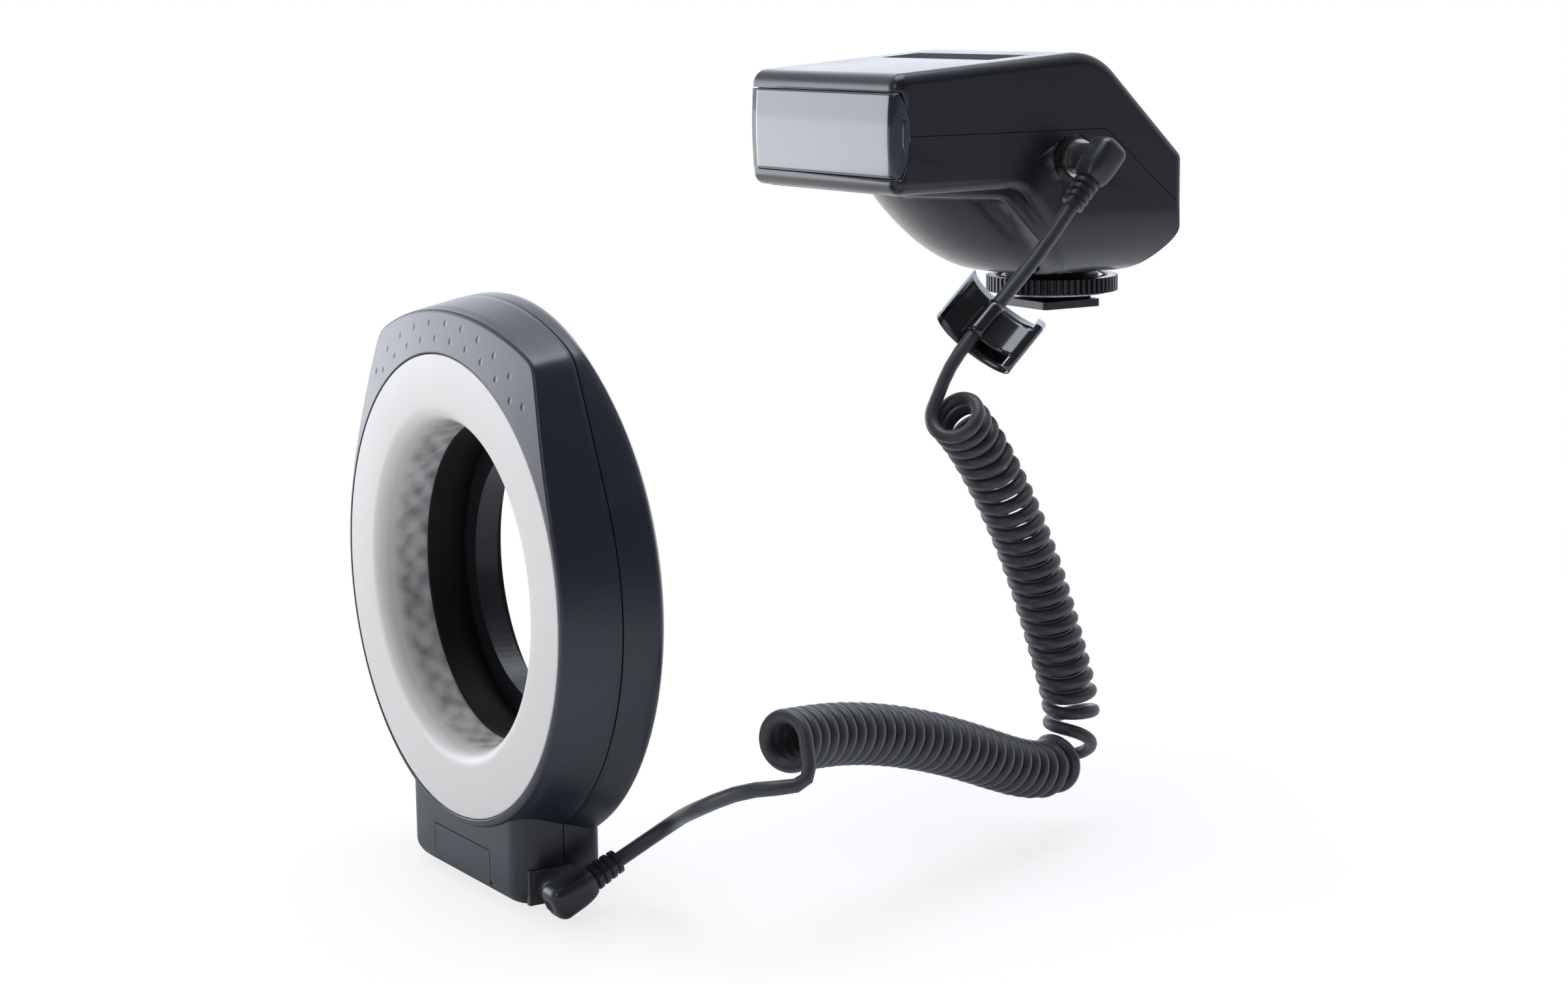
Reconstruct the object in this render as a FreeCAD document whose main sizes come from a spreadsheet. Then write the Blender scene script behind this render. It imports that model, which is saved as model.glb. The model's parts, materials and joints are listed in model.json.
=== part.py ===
import FreeCAD
import Part
import math
import os
import re
import Sketcher
from FreeCAD import Placement, Rotation, Vector

# Macro ring light: a ring head, a curly cord with two angled plugs, and a control unit on a shoe foot.
# Millimetres, +Z up, the lens axis along Y and the ring facing -Y.
# The origin is the middle of the shoe foot's underside, where a camera's shoe would hold it.
# The two sockets and the cord are on the +X side.

SIZES = [
    ("ring_front_y", -178.7, "front plane of the ring head"),
    ("ring_axis_z", -55, "height of the lens axis"),
    ("split_depth", 13.5, "front plane to the seam between the two ring shells"),
    ("head_depth", 31, "front plane to the flat back of the head"),
    ("collar_depth", 3, "collar behind the flat back"),
    ("collar_radius", 42, "outside of the collar"),
    ("diffuser_radius", 55.3, "outside of the frosted diffuser"),
    ("side_rim", 1.9, "diffuser's edge to the side outline at the front plane"),
    ("apex_rim", 9.6, "diffuser's edge to the top of the outline at the front plane"),
    ("corner_rim", 14.8, "diffuser's edge to the upper corners at the front plane"),
    ("front_corner_angle", 36, "upper corners from the vertical at the front plane"),
    ("side_flare", 3.8, "how much wider the side outline is at the seam"),
    ("apex_flare", 3.1, "how much higher the outline is at the seam"),
    ("corner_flare", 0.9, "how much farther out the upper corners are at the seam"),
    ("split_corner_angle", 35, "upper corners from the vertical at the seam"),
    ("corner_rounding", 4, "rounding of the head's upper corners"),
    ("bezel_slope", 12, "degrees that the bezel leans back"),
    ("shoulder_inset", 1, "side outline to the point where the back begins to turn in"),
    ("dome_shoulder_depth", 24.5, "depth of that point"),
    ("dome_flat_radius", 45, "edge of the flat back"),
    ("shell_wall", 2, "wall of the ring shells"),
    ("diffuser_bore_front", 40, "bore of the diffuser at its front"),
    ("diffuser_bore_rear", 38.4, "bore of the diffuser at its back"),
    ("diffuser_wall", 1.8, "wall of the diffuser"),
    ("diffuser_rounding", 3.5, "rounding from the face into the bore"),
    ("seat_gap", 0.1, "clearance of parts that sit in a recess"),
    ("sleeve_bore", 37.5, "light passage behind the diffuser"),
    ("sleeve_wall", 1.6, "wall of the inner sleeve"),
    ("lens_bore", 39.2, "room for the front of a lens"),
    ("adapter_depth", 23, "front plane to the adapter ring's seat"),
    ("filter_thread", 67, "outside of the adapter's thread"),
    ("adapter_flange", 2, "thickness of the adapter's flange"),
    ("adapter_thread_length", 4, "length of the adapter's thread"),
    ("adapter_wall", 1.8, "wall of the adapter's thread"),
    ("board_depth", 10.2, "front plane to the lamp board"),
    ("board_thickness", 1.2, "thickness of every circuit board"),
    ("board_inner", 42.4, "inside of the lamp board"),
    ("board_margin", 1.1, "diffuser's edge to the lamp board's edge"),
    ("lamp_count", 24, "lamps in each of the two rows"),
    ("lamp_margin", 3, "edge of the lamp board to the middle of a row"),
    ("lamp_turn", 6, "degrees that the rows are turned from +X"),
    ("lamp_width", 3.5, "lamp across the row"),
    ("lamp_length", 2.8, "lamp along the row"),
    ("lamp_height", 1.9, "lamp above its board"),
    ("post_radius", 2.4, "posts that carry boards and screws"),
    ("post_turn", 50.25, "degrees from +X to the first of those posts, between two lamps of both rows"),
    ("screw_radius", 0.9, "shank of every screw"),
    ("screw_head", 1.7, "radius of every screw head"),
    ("screw_head_height", 1.2, "height of every screw head"),
    ("board_screw_length", 7, "screws of the lamp board"),
    ("seam_screw_length", 8, "screws between the ring shells"),
    ("seam_screw_seat", 3, "seam to the seat of those screws' heads"),
    ("seam_screw_bite", 6, "depth of those screws' holes in the front shell"),
    ("foot_half_width", 30, "half width of the block under the ring"),
    ("foot_reach", 17.3, "diffuser's edge to the underside of the block"),
    ("foot_front", 1.5, "front plane to the face of the block"),
    ("foot_rear", 23.5, "front plane to the back of the block"),
    ("foot_corner", 6, "rounding of the block's upright front corners"),
    ("foot_edge", 4, "rounding of the block's lower edges"),
    ("badge_width", 29.4, "blank plate on the block"),
    ("badge_height", 8.2, "height of the blank plate"),
    ("badge_thickness", 0.8, "thickness of the blank plate"),
    ("badge_rise", 7.2, "underside of the block to the middle of the blank plate"),
    ("socket_depth", 10, "front plane to the ring socket's axis"),
    ("socket_rise", 5.4, "underside of the block to the ring socket's axis"),
    ("panel_length", 11.6, "plate round the ring socket"),
    ("panel_height", 8.4, "height of that plate"),
    ("panel_thickness", 1.5, "thickness of that plate"),
    ("socket_radius", 3.6, "outside of both socket barrels"),
    ("socket_length", 11, "length of the ring socket"),
    ("pin_radius", 1.75, "metal pin of both plugs"),
    ("pin_length", 9, "metal pin that goes into the socket"),
    ("pin_gap", 0.1, "clearance round the metal pin"),
    ("plug_leg_radius", 4, "short leg of both plugs"),
    ("plug_leg", 8.5, "plug face to the middle of the arm"),
    ("plug_arm_radius", 4.3, "arm of both plugs"),
    ("plug_arm_back", 5.4, "arm behind the leg's axis"),
    ("plug_arm_front", 6.2, "arm in front of the leg's axis"),
    ("relief_length", 8, "ribbed strain relief"),
    ("relief_radius", 3.3, "ribs of the strain relief"),
    ("relief_core", 2.5, "core between the ribs"),
    ("relief_ribs", 4, "ribs on each strain relief"),
    ("relief_taper", 0.12, "how much smaller each rib is than the one before"),
    ("pin_tip", 1.4, "tip of the metal pin and its neck, each"),
    ("unit_half_width", 33.5, "half width of the control unit"),
    ("unit_front_y", -72.7, "front face of the control unit"),
    ("unit_under_z", 33.8, "underside of the unit's nose"),
    ("unit_brow_z", 63, "top of the front face"),
    ("unit_crest_y", -10.5, "where the roof meets the rear slope"),
    ("unit_crest_z", 67.6, "height of that edge"),
    ("unit_rear_y", 17.3, "rear face of the unit"),
    ("unit_slope_z", 40.4, "lower end of the rear slope"),
    ("unit_tail_z", 21, "lower rear corner"),
    ("unit_floor_z", 10.3, "flat underside above the shoe"),
    ("unit_floor_rear_y", 8.2, "rear end of the flat underside"),
    ("unit_floor_front_y", -13.2, "front end of the full width underside"),
    ("hull_rounding", 17, "rounding of the unit's lower sides"),
    ("unit_step_y", -34.5, "where the side step meets the nose"),
    ("unit_wall", 2, "wall of the unit's shells"),
    ("unit_edge", 3.2, "rounding along the unit's sides"),
    ("crest_rounding", 17, "rounding between roof and slope"),
    ("seam_z", 48, "seam between the unit's shells"),
    ("seam_turn_y", -8.3, "where the seam turns down"),
    ("seam_end_z", 26.2, "seam at the rear face"),
    ("step_half_width", 30.6, "half width of the middle step"),
    ("step_drop", 2.6, "middle step below the nose"),
    ("step_rounding", 15, "rounding of the middle step's lower sides"),
    ("keel_half_width", 27, "half width of the keel"),
    ("keel_front_y", -54.5, "front end of the keel under the nose"),
    ("keel_rear_y", -8, "rear end of the keel, inside the full width"),
    ("keel_bow", 24, "length of the keel's round bow in the plan view"),
    ("door_low_z", 38, "lower edge of the battery door"),
    ("door_high_z", 58.5, "upper edge of the battery door"),
    ("door_thickness", 2.2, "thickness of the battery door"),
    ("door_wrap", 4.3, "how far the door reaches round the side"),
    ("door_gap", 0.2, "gap round the battery door"),
    ("door_rib", 0.9, "thin rib on the side of the battery door"),
    ("door_rib_place", 2.2, "front face to that rib"),
    ("door_rib_height", 0.4, "height of that rib"),
    ("door_rib_margin", 6, "door's upper and lower edge to that rib"),
    ("hinge_pin_radius", 0.75, "pin of the battery door"),
    ("hinge_play", 0.06, "play between that pin and the door"),
    ("cell_radius", 5.25, "battery cell"),
    ("cell_length", 43.5, "battery cell without its button"),
    ("cell_button", 0.9, "button of a battery cell"),
    ("cell_pitch", 11, "spacing of the cells"),
    ("cell_gap", 0.3, "clearance round the row of cells"),
    ("cell_start", 0.2, "battery door to the cells"),
    ("contact_width", 18, "contact plate on the battery door"),
    ("contact_height", 6, "height of that plate"),
    ("contact_thickness", 0.3, "thickness of that plate"),
    ("box_wall", 1.2, "wall of the battery box"),
    ("box_z", 48.2, "height of the cells' axes"),
    ("spring_length", 2.8, "contact springs behind the cells"),
    ("jack_y", -18.8, "axis of the unit's socket"),
    ("jack_z", 40.9, "height of that axis"),
    ("jack_recess_radius", 6.25, "round recess of the unit's socket"),
    ("jack_recess_depth", 1.2, "depth of that recess"),
    ("jack_nut_radius", 4.9, "bright ring of the unit's socket"),
    ("jack_proud", 2.6, "bright ring in front of the side"),
    ("jack_clearance", 0.5, "unit's socket to the battery box"),
    ("rear_panel_proud", 1.1, "rear panel behind the rear face"),
    ("band_length", 12, "dark band across the roof"),
    ("band_y", -32, "middle of the dark band"),
    ("band_half_width", 24, "half width of the dark band"),
    ("band_thickness", 0.7, "thickness of the dark band"),
    ("main_board_width", 48, "main board across"),
    ("main_board_length", 34, "main board along"),
    ("main_board_start", 9, "front face to the main board"),
    ("main_board_lift", 2, "floor of the nose to the main board"),
    ("main_post_x", 18, "main board's posts from the middle"),
    ("main_post_margin", 4, "main board's edge to its posts"),
    ("control_depth", 7.5, "rear slope to the control board"),
    ("control_width", 42, "control board across"),
    ("control_length", 22, "control board along the slope"),
    ("control_place", 23.5, "crest to the middle of the control board"),
    ("control_post_x", 18, "control board's posts from the middle"),
    ("control_post_place", 15, "crest to those posts"),
    ("control_gap", 0.3, "stems of the controls above the control board"),
    ("button_width", 8, "push button across the unit"),
    ("button_length", 5, "push button along the slope"),
    ("button_proud", 0.7, "push button above the slope"),
    ("button_travel", 0.8, "travel of a push button"),
    ("button_play", 0.15, "gap round a push button"),
    ("button_spacing", 10, "buttons from the middle"),
    ("button_place", 20, "buttons from the crest along the slope"),
    ("switch_place", 30, "slide switch from the crest"),
    ("switch_travel", 2, "slide switch to each side"),
    ("switch_width", 7, "slide switch knob"),
    ("switch_length", 3, "slide switch knob along the slope"),
    ("lamp_place", 14.5, "pilot lamp from the crest"),
    ("pilot_radius", 1.5, "pilot lamp"),
    ("pilot_proud", 0.4, "pilot lamp above the slope"),
    ("shell_screw_x", 27.6, "front screws between the unit's shells, from the middle"),
    ("shell_screw_y", -50, "those screws along the unit"),
    ("rear_screw_x", 20, "rear screws between the unit's shells, from the middle"),
    ("rear_screw_y", -11, "those screws along the unit"),
    ("unit_screw_bite", 6, "ends of the unit's screws above the seam"),
    ("shoe_width", 18.6, "foot plate across"),
    ("shoe_length", 18.4, "foot plate along"),
    ("shoe_plate", 2, "foot plate thickness"),
    ("shoe_slot", 12.3, "stem between the shoe's rails"),
    ("shoe_rail", 1.6, "room for the shoe's rails"),
    ("neck_radius", 12.2, "threaded neck"),
    ("neck_thread_pitch", 1, "pitch of the neck's thread"),
    ("neck_thread_depth", 0.5, "depth of the neck's thread"),
    ("spigot_radius", 6, "spigot through the unit's floor"),
    ("boss_top_z", 15.3, "inside seat of the neck's nut"),
    ("boss_radius", 13, "round pad above the neck"),
    ("boss_height", 6, "height of that pad"),
    ("neck_nut_radius", 9, "nut inside the unit"),
    ("neck_nut_height", 2.5, "height of that nut"),
    ("clamp_plate", 0.6, "pressure plate under the lock ring"),
    ("clamp_plate_radius", 14.5, "radius of the pressure plate"),
    ("lock_ring_radius", 17.4, "lock ring over its ribs"),
    ("lock_ring_height", 4, "height of the lock ring"),
    ("lock_ring_ribs", 64, "ribs round the lock ring"),
    ("lock_ring_rib", 0.7, "height of a rib"),
    ("lock_ring_dish", 1.2, "depth of the lock ring's dish"),
    ("lock_ring_rim", 1.8, "rim round the dish"),
    ("lock_ring_collar", 1.2, "collar round the lock ring's thread"),
    ("lock_ring_play", 0.08, "play on the neck's thread"),
    ("contact_radius", 1.6, "middle contact of the foot"),
    ("lead_diameter", 3.6, "straight leads of the cord"),
    ("curl_wire", 3.2, "cord where it is curled"),
    ("curl_radius", 5.65, "cord's middle to the coil's axis"),
    ("curl_turns", 53.55, "curls of the cord"),
    ("label_length", 16, "flag label along the lead"),
    ("label_sleeve", 10, "part of the label that wraps the lead"),
    ("label_thickness", 0.5, "thickness of the flag label"),
    ("driver_width", 28, "small board in the block, across"),
    ("driver_height", 12, "small board in the block, upright"),
    ("driver_rise", 16.1, "underside of the block to the middle of the small board"),
    ("driver_post", 10, "small board's posts from the middle"),
    ("driver_depth", 16, "front plane to the small board"),
    ("unit_lead_pitch", 50, "degrees that the unit's plug points down"),
    ("ring_lead_pitch", 24, "degrees that the ring's plug points up"),
]

# Sizes that follow from the ones above.
DERIVED = [
    ("front_side_radius", "diffuser_radius + side_rim", "side outline at the front plane"),
    ("front_apex", "diffuser_radius + apex_rim", "top of the outline at the front plane"),
    ("front_corner_radius", "diffuser_radius + corner_rim", "axis to the upper corners at the front plane"),
    ("split_side_radius", "front_side_radius + side_flare", "side outline at the seam"),
    ("split_apex", "front_apex + apex_flare", "top of the outline at the seam"),
    ("split_corner_radius", "front_corner_radius + corner_flare", "axis to the upper corners at the seam"),
    ("dome_shoulder_radius", "split_side_radius - shoulder_inset", "point where the back begins to turn in"),
    ("board_outer", "diffuser_radius - board_margin", "outside of the lamp board"),
    ("lamp_row_inner", "board_inner + lamp_margin", "radius of the inner row"),
    ("lamp_row_outer", "board_outer - lamp_margin", "radius of the outer row"),
    ("post_circle", "(board_inner + board_outer) / 2", "circle of the lamp board's posts"),
    ("foot_bottom", "diffuser_radius + foot_reach", "axis to the underside of the block"),
    ("badge_drop", "foot_bottom - badge_rise", "axis to the middle of the blank plate"),
    ("socket_drop", "foot_bottom - socket_rise", "axis to the ring socket's axis"),
    ("box_half_width", "2 * cell_pitch + cell_gap + box_wall", "half width of the battery box"),
    ("jack_length", "unit_half_width - jack_recess_depth - box_half_width - jack_clearance", "socket barrel"),
    ("driver_drop", "foot_bottom - driver_rise", "axis to the middle of the small board"),
]

doc = FreeCAD.newDocument("ring_light")
sheet = doc.addObject("Spreadsheet::Sheet", "Sizes")
for row, (alias, number, meaning) in enumerate(SIZES, start=1):
    sheet.set("A%d" % row, meaning)
    sheet.set("B%d" % row, str(number))
    sheet.setAlias("B%d" % row, alias)
doc.recompute()

ALIASES = {alias for alias, number, meaning in SIZES}
FORMULAS = {name: formula for name, formula, meaning in DERIVED}
NODES = []
X_AXIS = Vector(1, 0, 0)
Y_AXIS = Vector(0, 1, 0)
Z_AXIS = Vector(0, 0, 1)
ALONG_Y = Rotation(X_AXIS, -90)
ALONG_X = Rotation(Y_AXIS, 90)


class Sizes:
    """The sheet's values and the sizes that follow from them, by name."""

    def __getattr__(self, name):
        return number(FORMULAS[name]) if name in FORMULAS else float(sheet.get(name))


size = Sizes()


def bound(text):
    """An expression in which every size's name points at the sheet, or is written out as its formula."""

    def named(word):
        if word.group() in FORMULAS:
            return "(" + bound(FORMULAS[word.group()]) + ")"
        return "Sizes." + word.group() if word.group() in ALIASES else word.group()

    return re.sub(r"[a-z_][a-z_0-9]*", named, text)


def number(text):
    """The value of an expression now."""
    return float(sheet.evalExpression(bound(text)))


def node(thing, name):
    """Names a finished sub-part and keeps it for the export."""
    thing.Label = name
    NODES.append(thing)
    return thing


def place(thing, at):
    """Binds a placement's three coordinates."""
    for axis, text in zip("xyz", at):
        thing.setExpression("Placement.Base." + axis, bound(text))
    return thing


def primitive(kind, name, at=("0", "0", "0"), turn=None, **sizes):
    """A Part primitive whose sizes and place are bound to the sheet."""
    thing = doc.addObject(kind, name)
    if turn is not None:
        thing.Placement = Placement(Vector(), turn)
    for prop, text in sizes.items():
        thing.setExpression(prop, bound(text))
    return place(thing, at)


def cut(name, base, tool):
    """A Part cut."""
    thing = doc.addObject("Part::Cut", name)
    thing.Base = base
    thing.Tool = tool
    return thing


def fused(name, things):
    """A Part fusion."""
    thing = doc.addObject("Part::MultiFuse", name)
    thing.Shapes = things
    return thing


def solid(name, shape, placement=None):
    """A node with a shape of its own and, after it, its placement."""
    thing = doc.addObject("Part::Feature", name)
    thing.Shape = shape
    if placement is not None:
        thing.Placement = placement
    return node(thing, name)


def body(name, at=("0", "0", "0")):
    """An empty body with a bound place."""
    thing = doc.addObject("PartDesign::Body", name)
    return node(place(thing, at), name)


def sketch(owner, role, lift=None):
    """A sketch on one of the body's own origin planes, lifted along the plane's normal."""
    drawing = owner.newObject("Sketcher::SketchObject", owner.Label + "_sketch")
    plane = [f for f in owner.Origin.OriginFeatures if f.Role == role][0]
    drawing.AttachmentSupport = [(plane, "")]
    drawing.MapMode = "FlatFace"
    if lift is not None:
        drawing.setExpression("AttachmentOffset.Base.z", bound(lift))
    return drawing


def fix(drawing, kind, geometry, point, text):
    """Ties one coordinate of a sketch point to an expression."""
    value = number(text)
    if abs(value) < 1e-9:
        axis = -2 if kind == "DistanceX" else -1
        drawing.addConstraint(Sketcher.Constraint("PointOnObject", geometry, point, axis))
        return
    index = drawing.addConstraint(Sketcher.Constraint(kind, -1, 1, geometry, point, value))
    drawing.setExpression("Constraints[%d]" % index, bound(text))


def outline(drawing, corners):
    """A closed polygon whose corners are bound to expressions."""
    spots = [Vector(number(x), number(y), 0) for x, y in corners]
    first = drawing.GeometryCount
    for here, there in zip(spots, spots[1:] + spots[:1]):
        drawing.addGeometry(Part.LineSegment(here, there))
    for index, (x, y) in enumerate(corners):
        following = (index + 1) % len(corners)
        drawing.addConstraint(Sketcher.Constraint("Coincident", first + index, 2, first + following, 1))
        fix(drawing, "DistanceX", first + index, 1, x)
        fix(drawing, "DistanceY", first + index, 1, y)


def circle(drawing, radius, x="0", y="0"):
    """A circle whose radius and centre are bound."""
    centre = Vector(number(x), number(y), 0)
    index = drawing.addGeometry(Part.Circle(centre, Z_AXIS, number(radius)))
    fix(drawing, "DistanceX", index, 3, x)
    fix(drawing, "DistanceY", index, 3, y)
    tie = drawing.addConstraint(Sketcher.Constraint("Radius", index, number(radius)))
    drawing.setExpression("Constraints[%d]" % tie, bound(radius))


def revolved(owner, drawing, axis="V_Axis"):
    """A full turn of a sketch about one of its axes."""
    feature = owner.newObject("PartDesign::Revolution", owner.Label + "_turned")
    feature.Profile = drawing
    feature.ReferenceAxis = (drawing, [axis])
    feature.Angle = 360
    return feature


def padded(owner, drawing, length, symmetric=False, reverse=False):
    """A pad of a sketch."""
    feature = owner.newObject("PartDesign::Pad", owner.Label + "_pad")
    feature.Profile = drawing
    feature.setExpression("Length", bound(length))
    if symmetric:
        feature.SideType = "Symmetric"
    feature.Reversed = reverse
    return feature


def pocketed(owner, drawing, length, reverse=False):
    """A pocket of a sketch, checked to take material away."""
    doc.recompute()
    before = owner.Shape.Volume
    feature = owner.newObject("PartDesign::Pocket", owner.Label + "_pocket")
    feature.Profile = drawing
    feature.setExpression("Length", bound(length))
    feature.Reversed = reverse
    doc.recompute()
    if owner.Shape.Volume > before - 0.01:
        raise ValueError(owner.Label + ": a pocket cuts nothing")
    return feature


def rounded_wire(corners, radii, to_space):
    """A closed outline of straight runs and tangent arcs, one rounding for each corner."""
    edges = []
    spots = [Vector(a, b, 0) for a, b in corners]
    trimmed = []
    for index, corner in enumerate(spots):
        into = (corner - spots[index - 1]).normalize()
        out = (spots[(index + 1) % len(spots)] - corner).normalize()
        half_turn = into.getAngle(out) / 2
        reach = radii[index] * math.tan(half_turn)
        bisector = (out - into).normalize()
        middle = corner + bisector * (radii[index] / math.cos(half_turn) - radii[index])
        trimmed.append((corner - into * reach, middle, corner + out * reach))
    for index, (start, middle, end) in enumerate(trimmed):
        if radii[index] > 0:
            edges.append(Part.Arc(to_space(start), to_space(middle), to_space(end)).toShape())
        following = trimmed[(index + 1) % len(trimmed)][0]
        edges.append(Part.LineSegment(to_space(end), to_space(following)).toShape())
    return Part.Wire(edges)


def inset(corners, distance):
    """A clockwise or anticlockwise polygon with every side moved inwards."""
    count = len(corners)
    area = sum(corners[i - 1][0] * corners[i][1] - corners[i][0] * corners[i - 1][1] for i in range(count))
    side = 1 if area > 0 else -1
    lines = []
    for index, (x1, y1) in enumerate(corners):
        x2, y2 = corners[(index + 1) % count]
        length = math.hypot(x2 - x1, y2 - y1)
        nx, ny = -(y2 - y1) / length * side, (x2 - x1) / length * side
        lines.append((nx, ny, nx * x1 + ny * y1 + distance))
    moved = []
    for (a1, b1, c1), (a2, b2, c2) in zip(lines[-1:] + lines[:-1], lines):
        scale = a1 * b2 - a2 * b1
        moved.append(((c1 * b2 - c2 * b1) / scale, (a1 * c2 - a2 * c1) / scale))
    return moved


def box(low, high):
    """A plain block between two opposite corners."""
    corner = Vector(*low)
    edge = Vector(*high) - corner
    return Part.makeBox(edge.x, edge.y, edge.z, corner)


def screw(at, direction, length):
    """A screw whose head's underside is at a point, pointing along a direction."""
    shank = Part.makeCylinder(size.screw_radius, length, at, direction)
    head = Part.makeCylinder(size.screw_head, size.screw_head_height, at, -direction)
    return shank.fuse(head)


# Ring head

def lerp(first, last, share):
    """A value between two others."""
    return first + (last - first) * share


def head_point(x, z, depth):
    """A point of the ring head from the lens axis and the front plane."""
    return Vector(x, size.ring_front_y + depth, size.ring_axis_z + z)


def head_outline(depth, inward):
    """The head's outline at a depth: round below, two straight flanks, two corners and a flat arc on top."""
    share = depth / size.split_depth
    side = lerp(size.front_side_radius, size.split_side_radius, share) - inward
    apex = lerp(size.front_apex, size.split_apex, share) - inward
    reach = lerp(size.front_corner_radius, size.split_corner_radius, share) - inward * 1.15
    lean = math.radians(lerp(size.front_corner_angle, size.split_corner_angle, share))
    corner_x, corner_z = reach * math.sin(lean), reach * math.cos(lean)
    tangent = math.pi / 2 - lean - math.acos(side / reach)
    touch_x, touch_z = side * math.cos(tangent), side * math.sin(tangent)
    spot = {
        "right": head_point(corner_x, corner_z, depth),
        "left": head_point(-corner_x, corner_z, depth),
        "low_right": head_point(touch_x, touch_z, depth),
        "low_left": head_point(-touch_x, touch_z, depth),
    }
    return Part.Wire([
        Part.LineSegment(spot["right"], spot["low_right"]).toShape(),
        Part.Arc(spot["low_right"], head_point(0, -side, depth), spot["low_left"]).toShape(),
        Part.LineSegment(spot["low_left"], spot["left"]).toShape(),
        Part.Arc(spot["left"], head_point(0, apex, depth), spot["right"]).toShape(),
    ])


def head_block(start, end, inward):
    """The head's outline carried from one depth to another, with its upper corners rounded."""
    block = Part.makeLoft([head_outline(start, inward), head_outline(end, inward)], True, True)
    corners = []
    for edge in block.Edges:
        low, high = edge.BoundBox.YMin, edge.BoundBox.YMax
        middle = edge.BoundBox.Center
        above = middle.z - size.ring_axis_z > 0.7 * size.front_apex
        if high - low > 0.9 * (end - start) and above and abs(middle.x) > 1:
            corners.append(edge)
    return block.makeFillet(max(size.corner_rounding - inward, 1), corners)


def turned(profile):
    """A profile of radius and depth turned about the lens axis."""
    wire = Part.makePolygon([head_point(r, 0, depth) for r, depth in profile + profile[:1]])
    return Part.Face(wire).revolve(head_point(0, 0, 0), Y_AXIS, 360)


def bezel_cone(depth, reach):
    """Everything behind a shallow cone that leans back from the diffuser's edge."""
    lean = math.tan(math.radians(size.bezel_slope))
    edge = size.diffuser_radius + 0.5
    return turned([(0, depth), (edge, depth), (2 * edge, depth + edge * lean), (2 * edge, reach), (0, reach)])


def dome(inward):
    """The turned shape that closes the head's back: a rounded shoulder and a flat."""
    outer = size.split_corner_radius + 6
    aside = 0.7 * inward
    shoulder = head_point(size.dome_shoulder_radius - aside, 0, size.dome_shoulder_depth - aside)
    flat = head_point(size.dome_flat_radius - 0.4 * inward, 0, size.head_depth - inward)
    rim = head_point(outer, 0, size.split_depth - 3)
    rear, front = head_point(0, 0, size.head_depth - inward), head_point(0, 0, size.split_depth - 3)
    edges = [
        Part.Arc(rim, shoulder, flat).toShape(),
        Part.LineSegment(flat, rear).toShape(),
        Part.LineSegment(rear, front).toShape(),
        Part.LineSegment(front, rim).toShape(),
    ]
    return Part.Face(Part.Wire(edges)).revolve(head_point(0, 0, 0), Y_AXIS, 360)


def foot_block(inward):
    """The block under the ring, rounded at its upright front corners and its lower edges."""
    half = size.foot_half_width - inward
    low = size.ring_axis_z - size.foot_bottom + inward
    high = size.ring_axis_z - size.lens_bore - size.sleeve_wall
    front = size.ring_front_y + size.foot_front + inward
    rear = size.ring_front_y + size.foot_rear - inward
    block = box((-half, front, low), (half, rear, high))
    upright = [e for e in block.Edges if e.BoundBox.ZLength > 1 and e.BoundBox.YMax < front + 0.1]
    block = block.makeFillet(size.foot_corner - inward, upright)
    lower = [e for e in block.Edges if e.BoundBox.ZMax < low + 0.1]
    return block.makeFillet(size.foot_edge - inward, lower)


def disc(radius, start, end):
    """A round slab on the lens axis between two depths."""
    return turned([(0, start), (radius, start), (radius, end), (0, end)])


def post(x, z, start, end, radius):
    """A round post along the lens axis between two depths."""
    return Part.makeCylinder(radius, end - start, head_point(x, z, start), Y_AXIS)


def head_screw_places():
    """The four screws that hold the ring shells together."""
    high = size.split_apex - size.shell_wall - size.post_radius - 1.5
    low = size.foot_bottom - size.shell_wall - size.post_radius - 1.5
    side = size.foot_half_width - size.shell_wall - size.post_radius - 3
    lean = math.radians(size.split_corner_angle - 9)
    return [
        (high * math.sin(lean), high * math.cos(lean)),
        (-high * math.sin(lean), high * math.cos(lean)),
        (side - 12, -low),
        (-side, -low),
    ]


def board_post_places():
    """The four posts that carry the lamp board."""
    spots = []
    for quarter in range(4):
        angle = math.radians(size.post_turn + 90 * quarter)
        spots.append((size.post_circle * math.cos(angle), size.post_circle * math.sin(angle)))
    return spots


def socket_spot():
    """The ring socket's axis where it meets the side of the block."""
    return head_point(size.foot_half_width, -size.socket_drop, size.socket_depth)


def panel_recess(extra):
    """The rectangular seat of the plate round the ring socket."""
    centre = socket_spot()
    half_y, half_z = size.panel_length / 2 + extra, size.panel_height / 2 + extra
    low = (centre.x - size.panel_thickness - extra, centre.y - half_y, centre.z - half_z)
    return box(low, (centre.x + 5, centre.y + half_y, centre.z + half_z))


def badge_recess(extra):
    """The rectangular seat of the blank plate."""
    centre = head_point(0, -size.badge_drop, size.foot_front)
    half_x, half_z = size.badge_width / 2 + extra, size.badge_height / 2 + extra
    low = (-half_x, centre.y - 5, centre.z - half_z)
    return box(low, (half_x, centre.y + size.badge_thickness + extra, centre.z + half_z))


def socket_room():
    """A bore for the ring socket from outside the block's side inwards, with some room behind it."""
    outside = 5
    depth = size.panel_thickness + size.socket_length + 1.5
    start = socket_spot() + X_AXIS * outside
    return Part.makeCylinder(size.socket_radius + size.seat_gap, outside + depth, start, -X_AXIS)


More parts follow.
